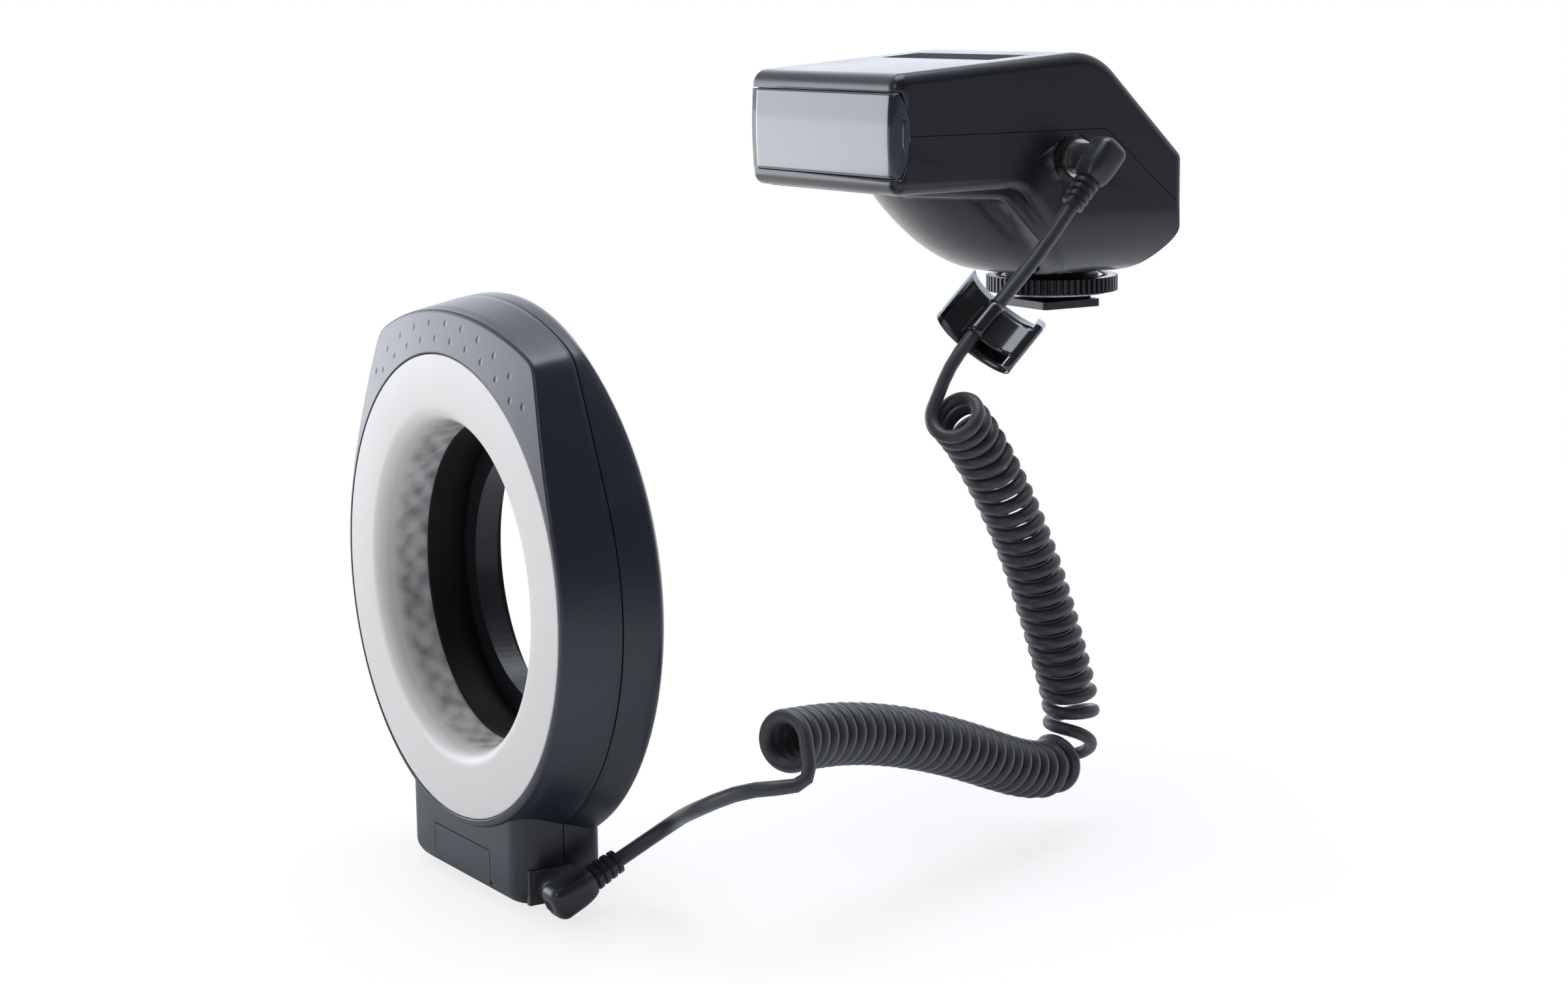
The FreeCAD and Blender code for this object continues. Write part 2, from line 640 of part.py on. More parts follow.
def ring_front_shell():
    """The bezel and the front half of the side wall, with the front of the block."""
    wall, seam = size.shell_wall, size.split_depth
    before, behind = -3, seam + 1
    head = head_block(before, seam, 0).common(bezel_cone(0, seam))
    outer = head.fuse(foot_block(0).common(disc(3 * size.foot_bottom, before, seam)))
    hollow = head_block(before, behind, wall).common(bezel_cone(wall, behind))
    shape = outer.cut(hollow.fuse(foot_block(wall)))
    for x, z in head_screw_places():
        shape = shape.fuse(post(x, z, wall, seam, size.post_radius).common(outer))
    shape = shape.cut(disc(size.diffuser_radius + size.seat_gap, before, behind))
    for x, z in head_screw_places():
        shape = shape.cut(post(x, z, seam - size.seam_screw_bite, behind, size.screw_radius))
    shape = shape.cut(panel_recess(size.seat_gap))
    shape = shape.cut(badge_recess(size.seat_gap))
    shape = shape.cut(socket_room())
    return solid("ring_front_shell", largest(shape))


def largest(shape):
    """The biggest solid of a shape."""
    return max(shape.Solids, key=lambda one: one.Volume)


def ring_rear_shell():
    """The rear half of the head with its shoulder, collar, inner sleeve and posts."""
    wall, seam = size.shell_wall, size.split_depth
    back = size.head_depth + size.collar_depth
    beyond = 2 * back
    outer = head_block(seam, size.head_depth + 2, 0).common(dome(0))
    outer = outer.fuse(foot_block(0).common(disc(3 * size.foot_bottom, seam, beyond)))
    outer = outer.fuse(disc(size.collar_radius, size.dome_shoulder_depth, back))
    hollow = head_block(seam - 1, size.head_depth + 2, wall).common(dome(wall)).fuse(foot_block(wall))
    shape = outer.cut(hollow.cut(disc(size.lens_bore + size.sleeve_wall, 0, back)))
    board_back = size.board_depth + size.board_thickness
    for x, z in board_post_places():
        shape = shape.fuse(post(x, z, board_back, size.head_depth - wall / 2, size.post_radius))
    for x, z in head_screw_places():
        shape = shape.fuse(post(x, z, seam, size.foot_rear, size.post_radius).common(outer))
    for x in (-size.driver_post, size.driver_post):
        rest = size.driver_depth + size.board_thickness
        support = post(x, -size.driver_drop, rest, size.head_depth, size.post_radius)
        shape = shape.fuse(support.common(outer))
    shape = shape.cut([disc(size.sleeve_bore, 0, beyond), disc(size.lens_bore, size.adapter_depth, beyond)])
    for x, z in head_screw_places():
        shape = shape.cut(post(x, z, seam - 1, beyond, size.screw_radius))
        shape = shape.cut(post(x, z, seam + size.seam_screw_seat, beyond, size.screw_head + size.seat_gap))
    for x, z in board_post_places():
        shape = shape.cut(post(x, z, 0, size.board_depth + size.board_screw_length + 1, size.screw_radius))
    shape = shape.cut(panel_recess(size.seat_gap))
    shape = shape.cut(socket_room())
    return solid("ring_rear_shell", largest(shape))


def diffuser():
    """The frosted ring: a flat face that rolls into a bore with a slight taper."""
    piece = body("diffuser", ("0", "ring_front_y", "ring_axis_z"))
    drawing = sketch(piece, "XY_Plane")
    outline(drawing, [
        ("diffuser_radius", "0"),
        ("diffuser_radius", "shell_wall + diffuser_wall"),
        ("diffuser_radius - diffuser_wall", "shell_wall + diffuser_wall"),
        ("diffuser_radius - diffuser_wall", "diffuser_wall"),
        ("diffuser_bore_front + diffuser_wall", "diffuser_wall"),
        ("diffuser_bore_rear + diffuser_wall", "split_depth"),
        ("diffuser_bore_rear", "split_depth"),
        ("diffuser_bore_front", "0"),
    ])
    turned_body = revolved(piece, drawing)
    doc.recompute()
    inner = size.diffuser_bore_front
    names = []
    for index, edge in enumerate(turned_body.Shape.Edges, start=1):
        bounds = edge.BoundBox
        if bounds.YMax < 0.01 and abs(bounds.XMax - inner) < 0.01 and bounds.ZLength > inner:
            names.append("Edge%d" % index)
    rounding = piece.newObject("PartDesign::Fillet", "diffuser_rounding")
    rounding.Base = (turned_body, names)
    rounding.setExpression("Radius", bound("diffuser_rounding"))


def lamp_board():
    """The ring-shaped lamp board with a hole over each post."""
    piece = body("led_board", ("0", "ring_front_y + board_depth", "ring_axis_z"))
    drawing = sketch(piece, "XY_Plane")
    outline(drawing, [
        ("board_inner", "0"),
        ("board_outer", "0"),
        ("board_outer", "board_thickness"),
        ("board_inner", "board_thickness"),
    ])
    revolved(piece, drawing)
    hole_sketch = sketch(piece, "XZ_Plane")
    circle(
        hole_sketch, "screw_radius + seat_gap",
        "post_circle * cos(post_turn * 1 deg)", "post_circle * sin(post_turn * 1 deg)",
    )
    hole = pocketed(piece, hole_sketch, "board_thickness")
    pattern = piece.newObject("PartDesign::PolarPattern", "led_board_holes")
    pattern.Originals = [hole]
    pattern.Axis = (hole_sketch, ["N_Axis"])
    pattern.Angle = 360
    pattern.Occurrences = 4
    piece.Tip = pattern


def lamps():
    """Two rows of flat lamps on the board, a solid each."""
    blocks = []
    count = int(size.lamp_count)
    for row, radius in enumerate((size.lamp_row_inner, size.lamp_row_outer)):
        for index in range(count):
            angle = 360 * (index + 0.5 * row) / count
            low = Vector(radius - size.lamp_width / 2, 0, -size.lamp_length / 2)
            block = Part.makeBox(size.lamp_width, size.lamp_height, size.lamp_length, low)
            block.rotate(Vector(), Y_AXIS, angle + size.lamp_turn)
            blocks.append(block)
    lift = Placement(head_point(0, 0, size.board_depth - size.lamp_height), Rotation())
    return solid("leds", Part.makeCompound(blocks), lift)


def ring_fasteners():
    """The ring head's screws, one node for each kind."""
    board = []
    for x, z in board_post_places():
        board.append(screw(head_point(x, z, size.board_depth), Y_AXIS, size.board_screw_length))
    solid("board_screws", Part.makeCompound(board))
    seam = []
    for x, z in head_screw_places():
        seat = head_point(x, z, size.split_depth + size.seam_screw_seat)
        seam.append(screw(seat, -Y_AXIS, size.seam_screw_length))
    solid("head_screws", Part.makeCompound(seam))


def badge_plate():
    """The blank plate on the front of the block."""
    at = ("-badge_width / 2", "ring_front_y + foot_front", "ring_axis_z - badge_drop - badge_height / 2")
    plate = primitive(
        "Part::Box", "badge", at,
        Length="badge_width", Width="badge_thickness", Height="badge_height",
    )
    return node(plate, "badge_plate")


def driver_board():
    """The small board on two posts in the block."""
    at = ("-driver_width / 2", "ring_front_y + driver_depth", "ring_axis_z - driver_drop - driver_height / 2")
    board = primitive(
        "Part::Box", "driver", at,
        Length="driver_width", Width="board_thickness", Height="driver_height",
    )
    return node(board, "driver_board")


def socket_panel():
    """The plate round the ring socket, with a bore for the plug's pin."""
    at = ("foot_half_width", "ring_front_y + socket_depth", "ring_axis_z - socket_drop")
    piece = body("socket_panel", at)
    drawing = sketch(piece, "YZ_Plane")
    outline(drawing, [
        ("-panel_length / 2", "-panel_height / 2"),
        ("panel_length / 2", "-panel_height / 2"),
        ("panel_length / 2", "panel_height / 2"),
        ("-panel_length / 2", "panel_height / 2"),
    ])
    circle(drawing, "pin_radius + pin_gap")
    padded(piece, drawing, "panel_thickness", reverse=True)


def ring_socket():
    """The barrel behind the plate."""
    at = ("foot_half_width - panel_thickness", "ring_front_y + socket_depth", "ring_axis_z - socket_drop")
    inward = Rotation(Y_AXIS, -90)
    barrel = primitive(
        "Part::Cylinder", "ring_barrel", at, inward,
        Radius="socket_radius", Height="socket_length",
    )
    bore = primitive(
        "Part::Cylinder", "ring_barrel_bore", at, inward,
        Radius="pin_radius + pin_gap", Height="pin_length + pin_gap",
    )
    return node(cut("ring_socket_cut", barrel, bore), "ring_socket")


def adapter_ring():
    """The ring that screws into a lens's filter thread, seated on the step of the bore."""
    piece = body("adapter_ring", ("0", "ring_front_y + adapter_depth", "ring_axis_z"))
    drawing = sketch(piece, "XY_Plane")
    outline(drawing, [
        ("filter_thread / 2 - adapter_wall", "0"),
        ("lens_bore - seat_gap", "0"),
        ("lens_bore - seat_gap", "adapter_flange"),
        ("filter_thread / 2", "adapter_flange"),
        ("filter_thread / 2", "adapter_flange + adapter_thread_length"),
        ("filter_thread / 2 - adapter_wall", "adapter_flange + adapter_thread_length"),
    ])
    revolved(piece, drawing)


# Plugs

def plug_shape():
    """An angled plug: its face is at the origin, its leg along +X and its arm along -Y."""
    leg = Part.makeCylinder(size.plug_leg_radius, size.plug_leg, Vector(), X_AXIS)
    middle = Vector(size.plug_leg, 0, 0)
    arm_length = size.plug_arm_back + size.plug_arm_front
    arm = Part.makeCylinder(size.plug_arm_radius, arm_length, middle + Y_AXIS * size.plug_arm_back, -Y_AXIS)
    rim = [e for e in arm.Edges if e.Curve.TypeId == "Part::GeomCircle" and e.BoundBox.YMin > 0]
    arm = arm.makeFillet(size.plug_arm_radius * 0.6, rim)
    shape = leg.fuse(arm)
    start = middle - Y_AXIS * size.plug_arm_front
    shape = shape.fuse(Part.makeCylinder(size.relief_core, size.relief_length, start, -Y_AXIS))
    ribs = int(size.relief_ribs)
    step = size.relief_length / ribs
    for index in range(ribs):
        radius = size.relief_radius - size.relief_taper * index
        at = start - Y_AXIS * (step * index + step * 0.35)
        shape = shape.fuse(Part.makeCylinder(radius, step * 0.65, at, -Y_AXIS))
    hole = Part.makeCylinder(size.pin_radius, size.plug_leg / 2, Vector(), X_AXIS)
    return largest(shape.removeSplitter().cut(hole))


def plug_placement(face, degrees):
    """A plug whose face is at a point and whose arm points along Y and Z at an angle from +Y."""
    return Placement(face, Rotation(X_AXIS, degrees + 180))


def plug_end(face, degrees):
    """Where the cord leaves a plug, and its direction there."""
    along = Vector(0, math.cos(math.radians(degrees)), math.sin(math.radians(degrees)))
    reach = size.plug_arm_front + size.relief_length
    return face + X_AXIS * size.plug_leg + along * reach, along


def pin_shape():
    """The metal pin: rooted in the leg and tipped with a small neck."""
    inside = size.plug_leg / 2
    tip = size.pin_tip
    shaft = Part.makeCylinder(size.pin_radius, inside + size.pin_length - 2 * tip, X_AXIS * inside, -X_AXIS)
    neck = Part.makeCylinder(size.pin_radius * 0.6, tip, -X_AXIS * (size.pin_length - 2 * tip), -X_AXIS)
    end = Part.makeCylinder(size.pin_radius, tip, -X_AXIS * (size.pin_length - tip), -X_AXIS)
    return shaft.fuse(neck).fuse(end)


def plugs():
    """Both plugs with their pins. Returns where the two leads start."""
    ring_face = socket_spot()
    unit_face = Vector(size.unit_half_width + size.jack_proud, size.jack_y, size.jack_z)
    ring_angle = size.ring_lead_pitch
    unit_angle = 180 + size.unit_lead_pitch
    for name, face, angle in (("ring_plug", ring_face, ring_angle), ("unit_plug", unit_face, unit_angle)):
        solid(name, plug_shape(), plug_placement(face, angle))
        solid(name + "_pin", pin_shape(), plug_placement(face, angle))
    return plug_end(ring_face, ring_angle), plug_end(unit_face, unit_angle)


# Control unit

def unit_profile():
    """The unit's side view at full width: nose, roof, rear slope, tail, floor and step."""
    return [
        (size.unit_front_y, size.unit_under_z),
        (size.unit_front_y, size.unit_brow_z),
        (size.unit_crest_y, size.unit_crest_z),
        (size.unit_rear_y, size.unit_slope_z),
        (size.unit_rear_y, size.unit_tail_z),
        (size.unit_floor_rear_y, size.unit_floor_z),
        (size.unit_floor_front_y, size.unit_floor_z),
        (size.unit_step_y, size.unit_under_z),
    ]


def unit_roundings(inward):
    """The rounding of each corner of the side view."""
    small, brow = max(3 - inward, 0.5), max(4 - inward, 0.5)
    return [small, brow, size.crest_rounding - inward, small, 4, 8, 3, 7 + inward]


def extruded(corners, radii, half_width, edge):
    """A side view carried across the unit, with its two side outlines rounded."""
    wire = rounded_wire(corners, radii, lambda spot: Vector(-half_width, spot.x, spot.y))
    block = Part.Face(wire).extrude(Vector(2 * half_width, 0, 0))
    if edge <= 0:
        return block
    rim = [e for e in block.Edges if e.BoundBox.XLength < 0.01]
    return block.makeFillet(edge, rim)


def full_block(inward):
    """The full-width part of the unit, moved inwards on every side."""
    corners = inset(unit_profile(), inward) if inward else unit_profile()
    edge = size.unit_edge - inward
    return extruded(corners, unit_roundings(inward), size.unit_half_width - inward, max(edge, 0.6))


def hull(half_width, rounding, floor_z):
    """A long prism along Y that rounds the unit's lower sides, open above."""
    high = size.unit_crest_z + 10
    start, end = size.unit_front_y - 10, size.unit_rear_y + 10
    corners = [(-half_width, floor_z), (half_width, floor_z), (half_width, high), (-half_width, high)]
    wire = rounded_wire(corners, [rounding, rounding, 0, 0], lambda spot: Vector(spot.x, start, spot.y))
    return Part.Face(wire).extrude(Vector(0, end - start, 0))


def main_block(inward):
    """The full-width part of the unit with its lower sides rounded, moved inwards on every side."""
    form = hull(size.unit_half_width - inward, size.hull_rounding - inward, size.unit_floor_z + inward)
    return full_block(inward).common(form)


def step_block():
    """The middle step under the nose, rounded below like the rest."""
    drop = size.step_drop
    root, front = size.unit_under_z + 4, size.unit_front_y + 3.5
    corners = [
        (front, root),
        (size.unit_step_y + 4, root),
        (size.unit_floor_front_y + 4, size.unit_floor_z),
        (size.unit_floor_front_y - drop, size.unit_floor_z),
        (size.unit_step_y - drop * 1.2, size.unit_under_z - drop),
        (front, size.unit_under_z - drop * 0.1),
    ]
    block = extruded(corners, [0, 0, 0, 2, 6, 0.5], size.step_half_width, 1.6)
    return block.common(hull(size.step_half_width, size.step_rounding, size.unit_floor_z))


# Levels of the keel from the nose down to the floor: height above the floor, half width, distance from
# the keel's rear end to its front end, and length of the bow, each as a share of the whole.
KEEL_LEVELS = [
    (1.128, 1, 1, 1),
    (0.804, 1, 0.895, 1),
    (0.532, 0.985, 0.759, 0.98),
    (0.302, 0.907, 0.619, 0.875),
    (0.136, 0.778, 0.48, 0.667),
    (0.043, 0.667, 0.366, 0.458),
    (0, 0.593, 0.269, 0.292),
]
KEEL_BOW_POINTS = 12


def keel_section(inward, height, width, reach, bow):
    """One level cut through the keel: straight sides with a half ellipse as the bow."""
    level = lerp(size.unit_floor_z, size.unit_under_z, height) + inward
    half = size.keel_half_width * width - inward
    back = size.keel_rear_y
    front = lerp(back, size.keel_front_y, reach) + inward
    shoulder = front + size.keel_bow * bow
    points = []
    for index in range(KEEL_BOW_POINTS + 1):
        angle = math.pi * index / KEEL_BOW_POINTS
        x, y = -half * math.cos(angle), shoulder - (shoulder - front) * math.sin(angle)
        points.append(Vector(x, y, level))
    curve = Part.BSplineCurve()
    curve.interpolate(Points=points, InitialTangent=-Y_AXIS, FinalTangent=Y_AXIS)
    left_back, right_back = Vector(-half, back, level), Vector(half, back, level)
    return Part.Wire([
        Part.LineSegment(left_back, points[0]).toShape(),
        curve.toShape(),
        Part.LineSegment(points[-1], right_back).toShape(),
        Part.LineSegment(right_back, left_back).toShape(),
    ])


def keel_block(inward):
    """The boat-shaped keel below the nose, moved inwards on every side."""
    sections = [keel_section(inward, *level) for level in KEEL_LEVELS]
    return Part.makeLoft(sections, True, False)


def below_seam():
    """Everything below the seam of the unit's shells."""
    slope = (size.seam_end_z - size.seam_z) / (size.unit_rear_y - size.seam_turn_y)
    far = size.unit_rear_y + 20
    corners = [
        (size.unit_front_y - 20, size.seam_z),
        (size.seam_turn_y, size.seam_z),
        (far, size.seam_z + slope * (far - size.seam_turn_y)),
        (far, -20),
        (size.unit_front_y - 20, -20),
    ]
    return extruded(corners, [0, 6, 0, 0, 0], size.unit_half_width + 20, 0)


def door_zone(extra):
    """A D-shaped block across the nose: straight above and below, bowed behind."""
    low, high = size.door_low_z - extra, size.door_high_z + extra
    front = size.unit_front_y - 10
    edge = size.unit_front_y + 1.5 + extra
    bow = size.unit_front_y + size.door_wrap + extra
    half = size.unit_half_width + 10
    middle = (low + high) / 2
    wire = Part.Wire([
        Part.LineSegment(Vector(-half, edge, high), Vector(-half, front, high)).toShape(),
        Part.LineSegment(Vector(-half, front, high), Vector(-half, front, low)).toShape(),
        Part.LineSegment(Vector(-half, front, low), Vector(-half, edge, low)).toShape(),
        Part.Arc(Vector(-half, edge, low), Vector(-half, bow, middle), Vector(-half, edge, high)).toShape(),
    ])
    return Part.Face(wire).extrude(Vector(2 * half, 0, 0))


def door_axis():
    """The battery door's hinge at the front corner on the -X side."""
    back = size.door_thickness
    return Vector(-size.unit_half_width + back, size.unit_front_y + back, 0)


def hinge_bar(radius, low, high):
    """A round bar on the battery door's hinge."""
    foot = door_axis()
    return Part.makeCylinder(radius, high - low, Vector(foot.x, foot.y, low), Z_AXIS)


def door_seat():
    """What the nose gives up for the battery door and its hinge barrel."""
    gap = size.door_gap
    inner = full_block(size.door_thickness + gap)
    seat = door_zone(gap).cut(inner)
    barrel = hinge_bar(size.door_thickness + gap, size.door_low_z - gap, size.door_high_z + gap)
    return seat.fuse(barrel)


def nose_bulkhead():
    """The wall behind the battery door, thicker than the rest of the shell."""
    gap = size.door_gap
    thick = size.door_thickness + gap + size.unit_wall
    band = full_block(size.unit_wall * 0.9).cut(full_block(thick))
    reach = size.unit_front_y + size.door_wrap + size.unit_wall
    low, high = size.door_low_z - size.unit_wall, size.door_high_z + size.unit_wall
    half = size.unit_half_width
    return band.common(box((-half, size.unit_front_y, low), (half, reach, high)))


def cell_box_half():
    """Half the inside of the battery box, across and up."""
    return 2 * size.cell_pitch + 0.3, size.cell_radius + 0.3


def cell_front():
    """Where the battery box begins behind the door."""
    return size.unit_front_y + size.door_thickness + size.door_gap


def box_opening():
    """The hole in the nose that the battery box passes through."""
    half_x, half_z = cell_box_half()
    side, rise = half_x + size.box_wall + size.seat_gap, half_z + size.box_wall + size.seat_gap
    low = (-side, size.unit_front_y - 1, size.box_z - rise)
    return box(low, (side, size.unit_front_y + 15, size.box_z + rise))


def slope_frame():
    """The rear slope's place and turn: its X across, its Y down the slope and its Z outwards."""
    rise = size.unit_slope_z - size.unit_crest_z
    run = size.unit_rear_y - size.unit_crest_y
    lean = math.degrees(math.atan2(rise, run))
    return Placement(Vector(0, size.unit_crest_y, size.unit_crest_z), Rotation(X_AXIS, lean))


def on_slope(shape):
    """A shape drawn in the slope's own frame."""
    shape.Placement = slope_frame().multiply(shape.Placement)
    return shape


def slope_box(x, along, half_x, half_y, low, high):
    """A block square to the rear slope."""
    return on_slope(box((x - half_x, along - half_y, low), (x + half_x, along + half_y, high)))


def shell_screw_places():
    """The four screws between the unit's shells: x, y, height of the head's seat."""
    front_x, front_y, front_seat = size.shell_screw_x, size.shell_screw_y, size.unit_under_z + size.unit_wall
    rear_x, rear_y, rear_seat = size.rear_screw_x, size.rear_screw_y, size.unit_floor_z + 2 * size.unit_wall
    return [
        (front_x, front_y, front_seat),
        (-front_x, front_y, front_seat),
        (rear_x, rear_y, rear_seat),
        (-rear_x, rear_y, rear_seat),
    ]


def upright(x, y, low, high, radius):
    """A round post along Z."""
    return Part.makeCylinder(radius, high - low, Vector(x, y, low), Z_AXIS)


def unit_outer():
    """The whole outer form of the control unit, with a round pad above the neck."""
    pad = upright(0, 0, size.unit_floor_z, size.unit_floor_z + size.boss_height, size.boss_radius)
    return main_block(0).fuse([step_block(), keel_block(0), pad])


def shell_posts(outer):
    """Everything that stands inside the unit's shells: boss, screw posts and board posts."""
    floor = size.unit_floor_z
    things = [nose_bulkhead(), upright(0, 0, floor, size.boss_top_z, size.neck_nut_radius + size.unit_wall)]
    for x, y, seat in shell_screw_places():
        things.append(upright(x, y, floor, size.unit_crest_z, size.post_radius).common(outer))
    start = size.unit_front_y + size.main_board_start
    near, far = start + size.main_post_margin, start + size.main_board_length - size.main_post_margin
    for x in (-size.main_post_x, size.main_post_x):
        for y in (near, far):
            things.append(upright(x, y, floor, board_height(), size.post_radius).common(outer))
    for x in (-size.control_post_x, size.control_post_x):
        foot = Vector(x, size.control_post_place, -size.control_depth)
        things.append(on_slope(Part.makeCylinder(size.post_radius, size.control_depth - 0.5, foot, Z_AXIS)))
    return things


def slope_openings():
    """The openings for the controls and the pilot lamp in the rear slope."""
    inside, outside = -size.unit_wall - 1, 3
    gap = size.button_play
    holes = []
    for x in (-size.button_spacing, size.button_spacing):
        half_x, half_y = size.button_width / 2 + gap, size.button_length / 2 + gap
        holes.append(slope_box(x, size.button_place, half_x, half_y, inside, outside))
    half_x, half_y = knob_half_width() + size.switch_travel + gap, size.switch_length / 2 + gap
    holes.append(slope_box(0, size.switch_place, half_x, half_y, inside, outside))
    eye = Vector(0, size.lamp_place, inside)
    round_hole = Part.makeCylinder(size.pilot_radius + size.seat_gap, outside - inside, eye, Z_AXIS)
    holes.append(on_slope(round_hole))
    return holes


def unit_shells():
    """The upper and lower shells, hollow, with posts, seats and openings."""
    wall = size.unit_wall
    outer = unit_outer()
    shape = outer.cut(main_block(wall).fuse(keel_block(wall))).fuse(shell_posts(outer))
    low, high = size.door_low_z - wall, size.door_high_z + wall
    shape = shape.cut([door_seat(), box_opening(), hinge_bar(size.hinge_pin_radius, low, high)])
    below = -20
    for x, y, seat in shell_screw_places():
        shape = shape.cut(upright(x, y, below, seat, size.screw_head + size.seat_gap))
        shape = shape.cut(upright(x, y, seat - 1, size.seam_z + size.unit_screw_bite + 2, size.screw_radius))
    shape = shape.cut(upright(0, 0, below, size.boss_top_z + 1, size.spigot_radius + size.seat_gap))
    shape = shape.cut(jack_bore(size.jack_recess_radius, size.jack_recess_depth))
    jack_depth = size.jack_recess_depth + size.jack_length
    shape = shape.cut(jack_bore(size.socket_radius + size.seat_gap, jack_depth))
    shape = shape.cut(band_block(size.seat_gap, 4))
    shape = shape.cut(slope_openings())
    seam = below_seam()
    solid("unit_lower_shell", largest(shape.common(seam)))
    solid("unit_upper_shell", largest(shape.cut(seam)))


def board_height():
    """The underside of the main board."""
    return size.unit_under_z + size.unit_wall + size.main_board_lift


def knob_half_width():
    """Half the slide switch's knob, a little narrower than its base."""
    return size.switch_width / 2 - 1


def jack_bore(radius, depth):
    """A bore from the +X side inwards on the unit socket's axis."""
    start = Vector(size.unit_half_width + 5, size.jack_y, size.jack_z)
    return Part.makeCylinder(radius, depth + 5, start, -X_AXIS)


def band_block(extra, above):
    """The dark band or its seat in the roof, level with the roof's slope, up to a height above it."""
    half_x, half_y = size.band_half_width + extra, size.band_length / 2 + extra
    rise, run = size.unit_crest_z - size.unit_brow_z, size.unit_crest_y - size.unit_front_y
    top = size.unit_brow_z + (size.band_y - size.unit_front_y) * rise / run
    block = box((-half_x, -half_y, -size.band_thickness - extra), (half_x, half_y, above))
    lean = math.degrees(math.atan2(rise, run))
    block.Placement = Placement(Vector(0, size.band_y, top), Rotation(X_AXIS, lean))
    return block


def battery_door():
    """The glossy door: a plate that wraps round the +X corner and turns on a barrel at -X."""
    low, high = size.door_low_z, size.door_high_z
    front, side = size.unit_front_y, size.unit_half_width
    skin = full_block(0).cut(full_block(size.door_thickness))
    keep = box((door_axis().x, front - 5, low), (side + 5, front + 15, high))
    plate = skin.common(door_zone(0)).common(keep)
    barrel = hinge_bar(size.door_thickness - BARREL_EASE, low, high)
    rib_y, margin = front + size.door_rib_place, size.door_rib_margin
    rib_end = (side + size.door_rib_height, rib_y + size.door_rib, high - margin)
    rib = box((side - 0.5, rib_y, low + margin), rib_end)
    shape = plate.fuse([barrel, rib])
    shape = shape.cut(hinge_bar(size.hinge_pin_radius + size.hinge_play, low - 1, high + 1))
    solid("battery_door", largest(shape))
    at = (
        "-unit_half_width + door_thickness",
        "unit_front_y + door_thickness",
        "door_low_z - unit_wall",
    )
    pin = primitive(
        "Part::Cylinder", "hinge", at, None,
        Radius="hinge_pin_radius", Height="door_high_z - door_low_z + 2 * unit_wall",
    )
    node(pin, "door_pin")


BARREL_EASE = 0.02


def battery_box():
    """The open-fronted box for four cells in a row, with the cells, their springs and the door's contacts."""
    start = "unit_front_y + door_thickness + door_gap"
    depth = "cell_length + cell_button + spring_length + cell_gap"
    outer = primitive(
        "Part::Box", "cell_box_outer",
        ("-box_half_width", start, "box_z - cell_radius - cell_gap - box_wall"), None,
        Length="2 * box_half_width", Width=depth + " + box_wall",
        Height="2 * (cell_radius + cell_gap + box_wall)",
    )
    inner = primitive(
        "Part::Box", "cell_box_inner",
        ("box_wall - box_half_width", start + " - 1", "box_z - cell_radius - cell_gap"), None,
        Length="2 * (box_half_width - box_wall)", Width=depth + " + 1", Height="2 * (cell_radius + cell_gap)",
    )
    node(cut("cell_box", outer, inner), "battery_box")
    first = start + " + cell_start"
    springs = []
    rear = cell_front() + size.cell_start + size.cell_length + size.cell_button
    for index in range(4):
        x = "(%d - 1.5) * cell_pitch" % index
        can = primitive(
            "Part::Cylinder", "cell_can_%d" % (index + 1), (x, first, "box_z"), ALONG_Y,
            Radius="cell_radius", Height="cell_length",
        )
        button = primitive(
            "Part::Cylinder", "cell_tip_%d" % (index + 1), (x, first + " + cell_length", "box_z"), ALONG_Y,
            Radius="cell_radius / 3", Height="cell_button",
        )
        node(fused("cell_%d_fused" % (index + 1), [can, button]), "cell_%d" % (index + 1))
        at = Vector((index - 1.5) * size.cell_pitch, rear, size.box_z)
        length = size.spring_length + size.cell_gap - size.cell_start
        springs.append(Part.makeCylinder(size.cell_radius * 0.6, length, at, Y_AXIS))
    solid("battery_springs", Part.makeCompound(springs))
    plates = []
    back = size.unit_front_y + size.door_thickness
    half_x, half_z = size.contact_width / 2, size.contact_height / 2
    for middle in (-size.cell_pitch, size.cell_pitch):
        low = (middle - half_x, back, size.box_z - half_z)
        plates.append(box(low, (middle + half_x, back + size.contact_thickness, size.box_z + half_z)))
    solid("door_contacts", Part.makeCompound(plates))


def boards():
    """The main board on its posts and the control board under the slope."""
    height = "unit_under_z + unit_wall + main_board_lift"
    at = ("-main_board_width / 2", "unit_front_y + main_board_start", height)
    board = primitive(
        "Part::Box", "main", at, None,
        Length="main_board_width", Width="main_board_length", Height="board_thickness",
    )
    node(board, "main_board")
    deep = size.control_depth
    half_x, half_y = size.control_width / 2, size.control_length / 2
    board = slope_box(0, size.control_place, half_x, half_y, -deep - size.board_thickness, -deep)
    solid("control_board", board)


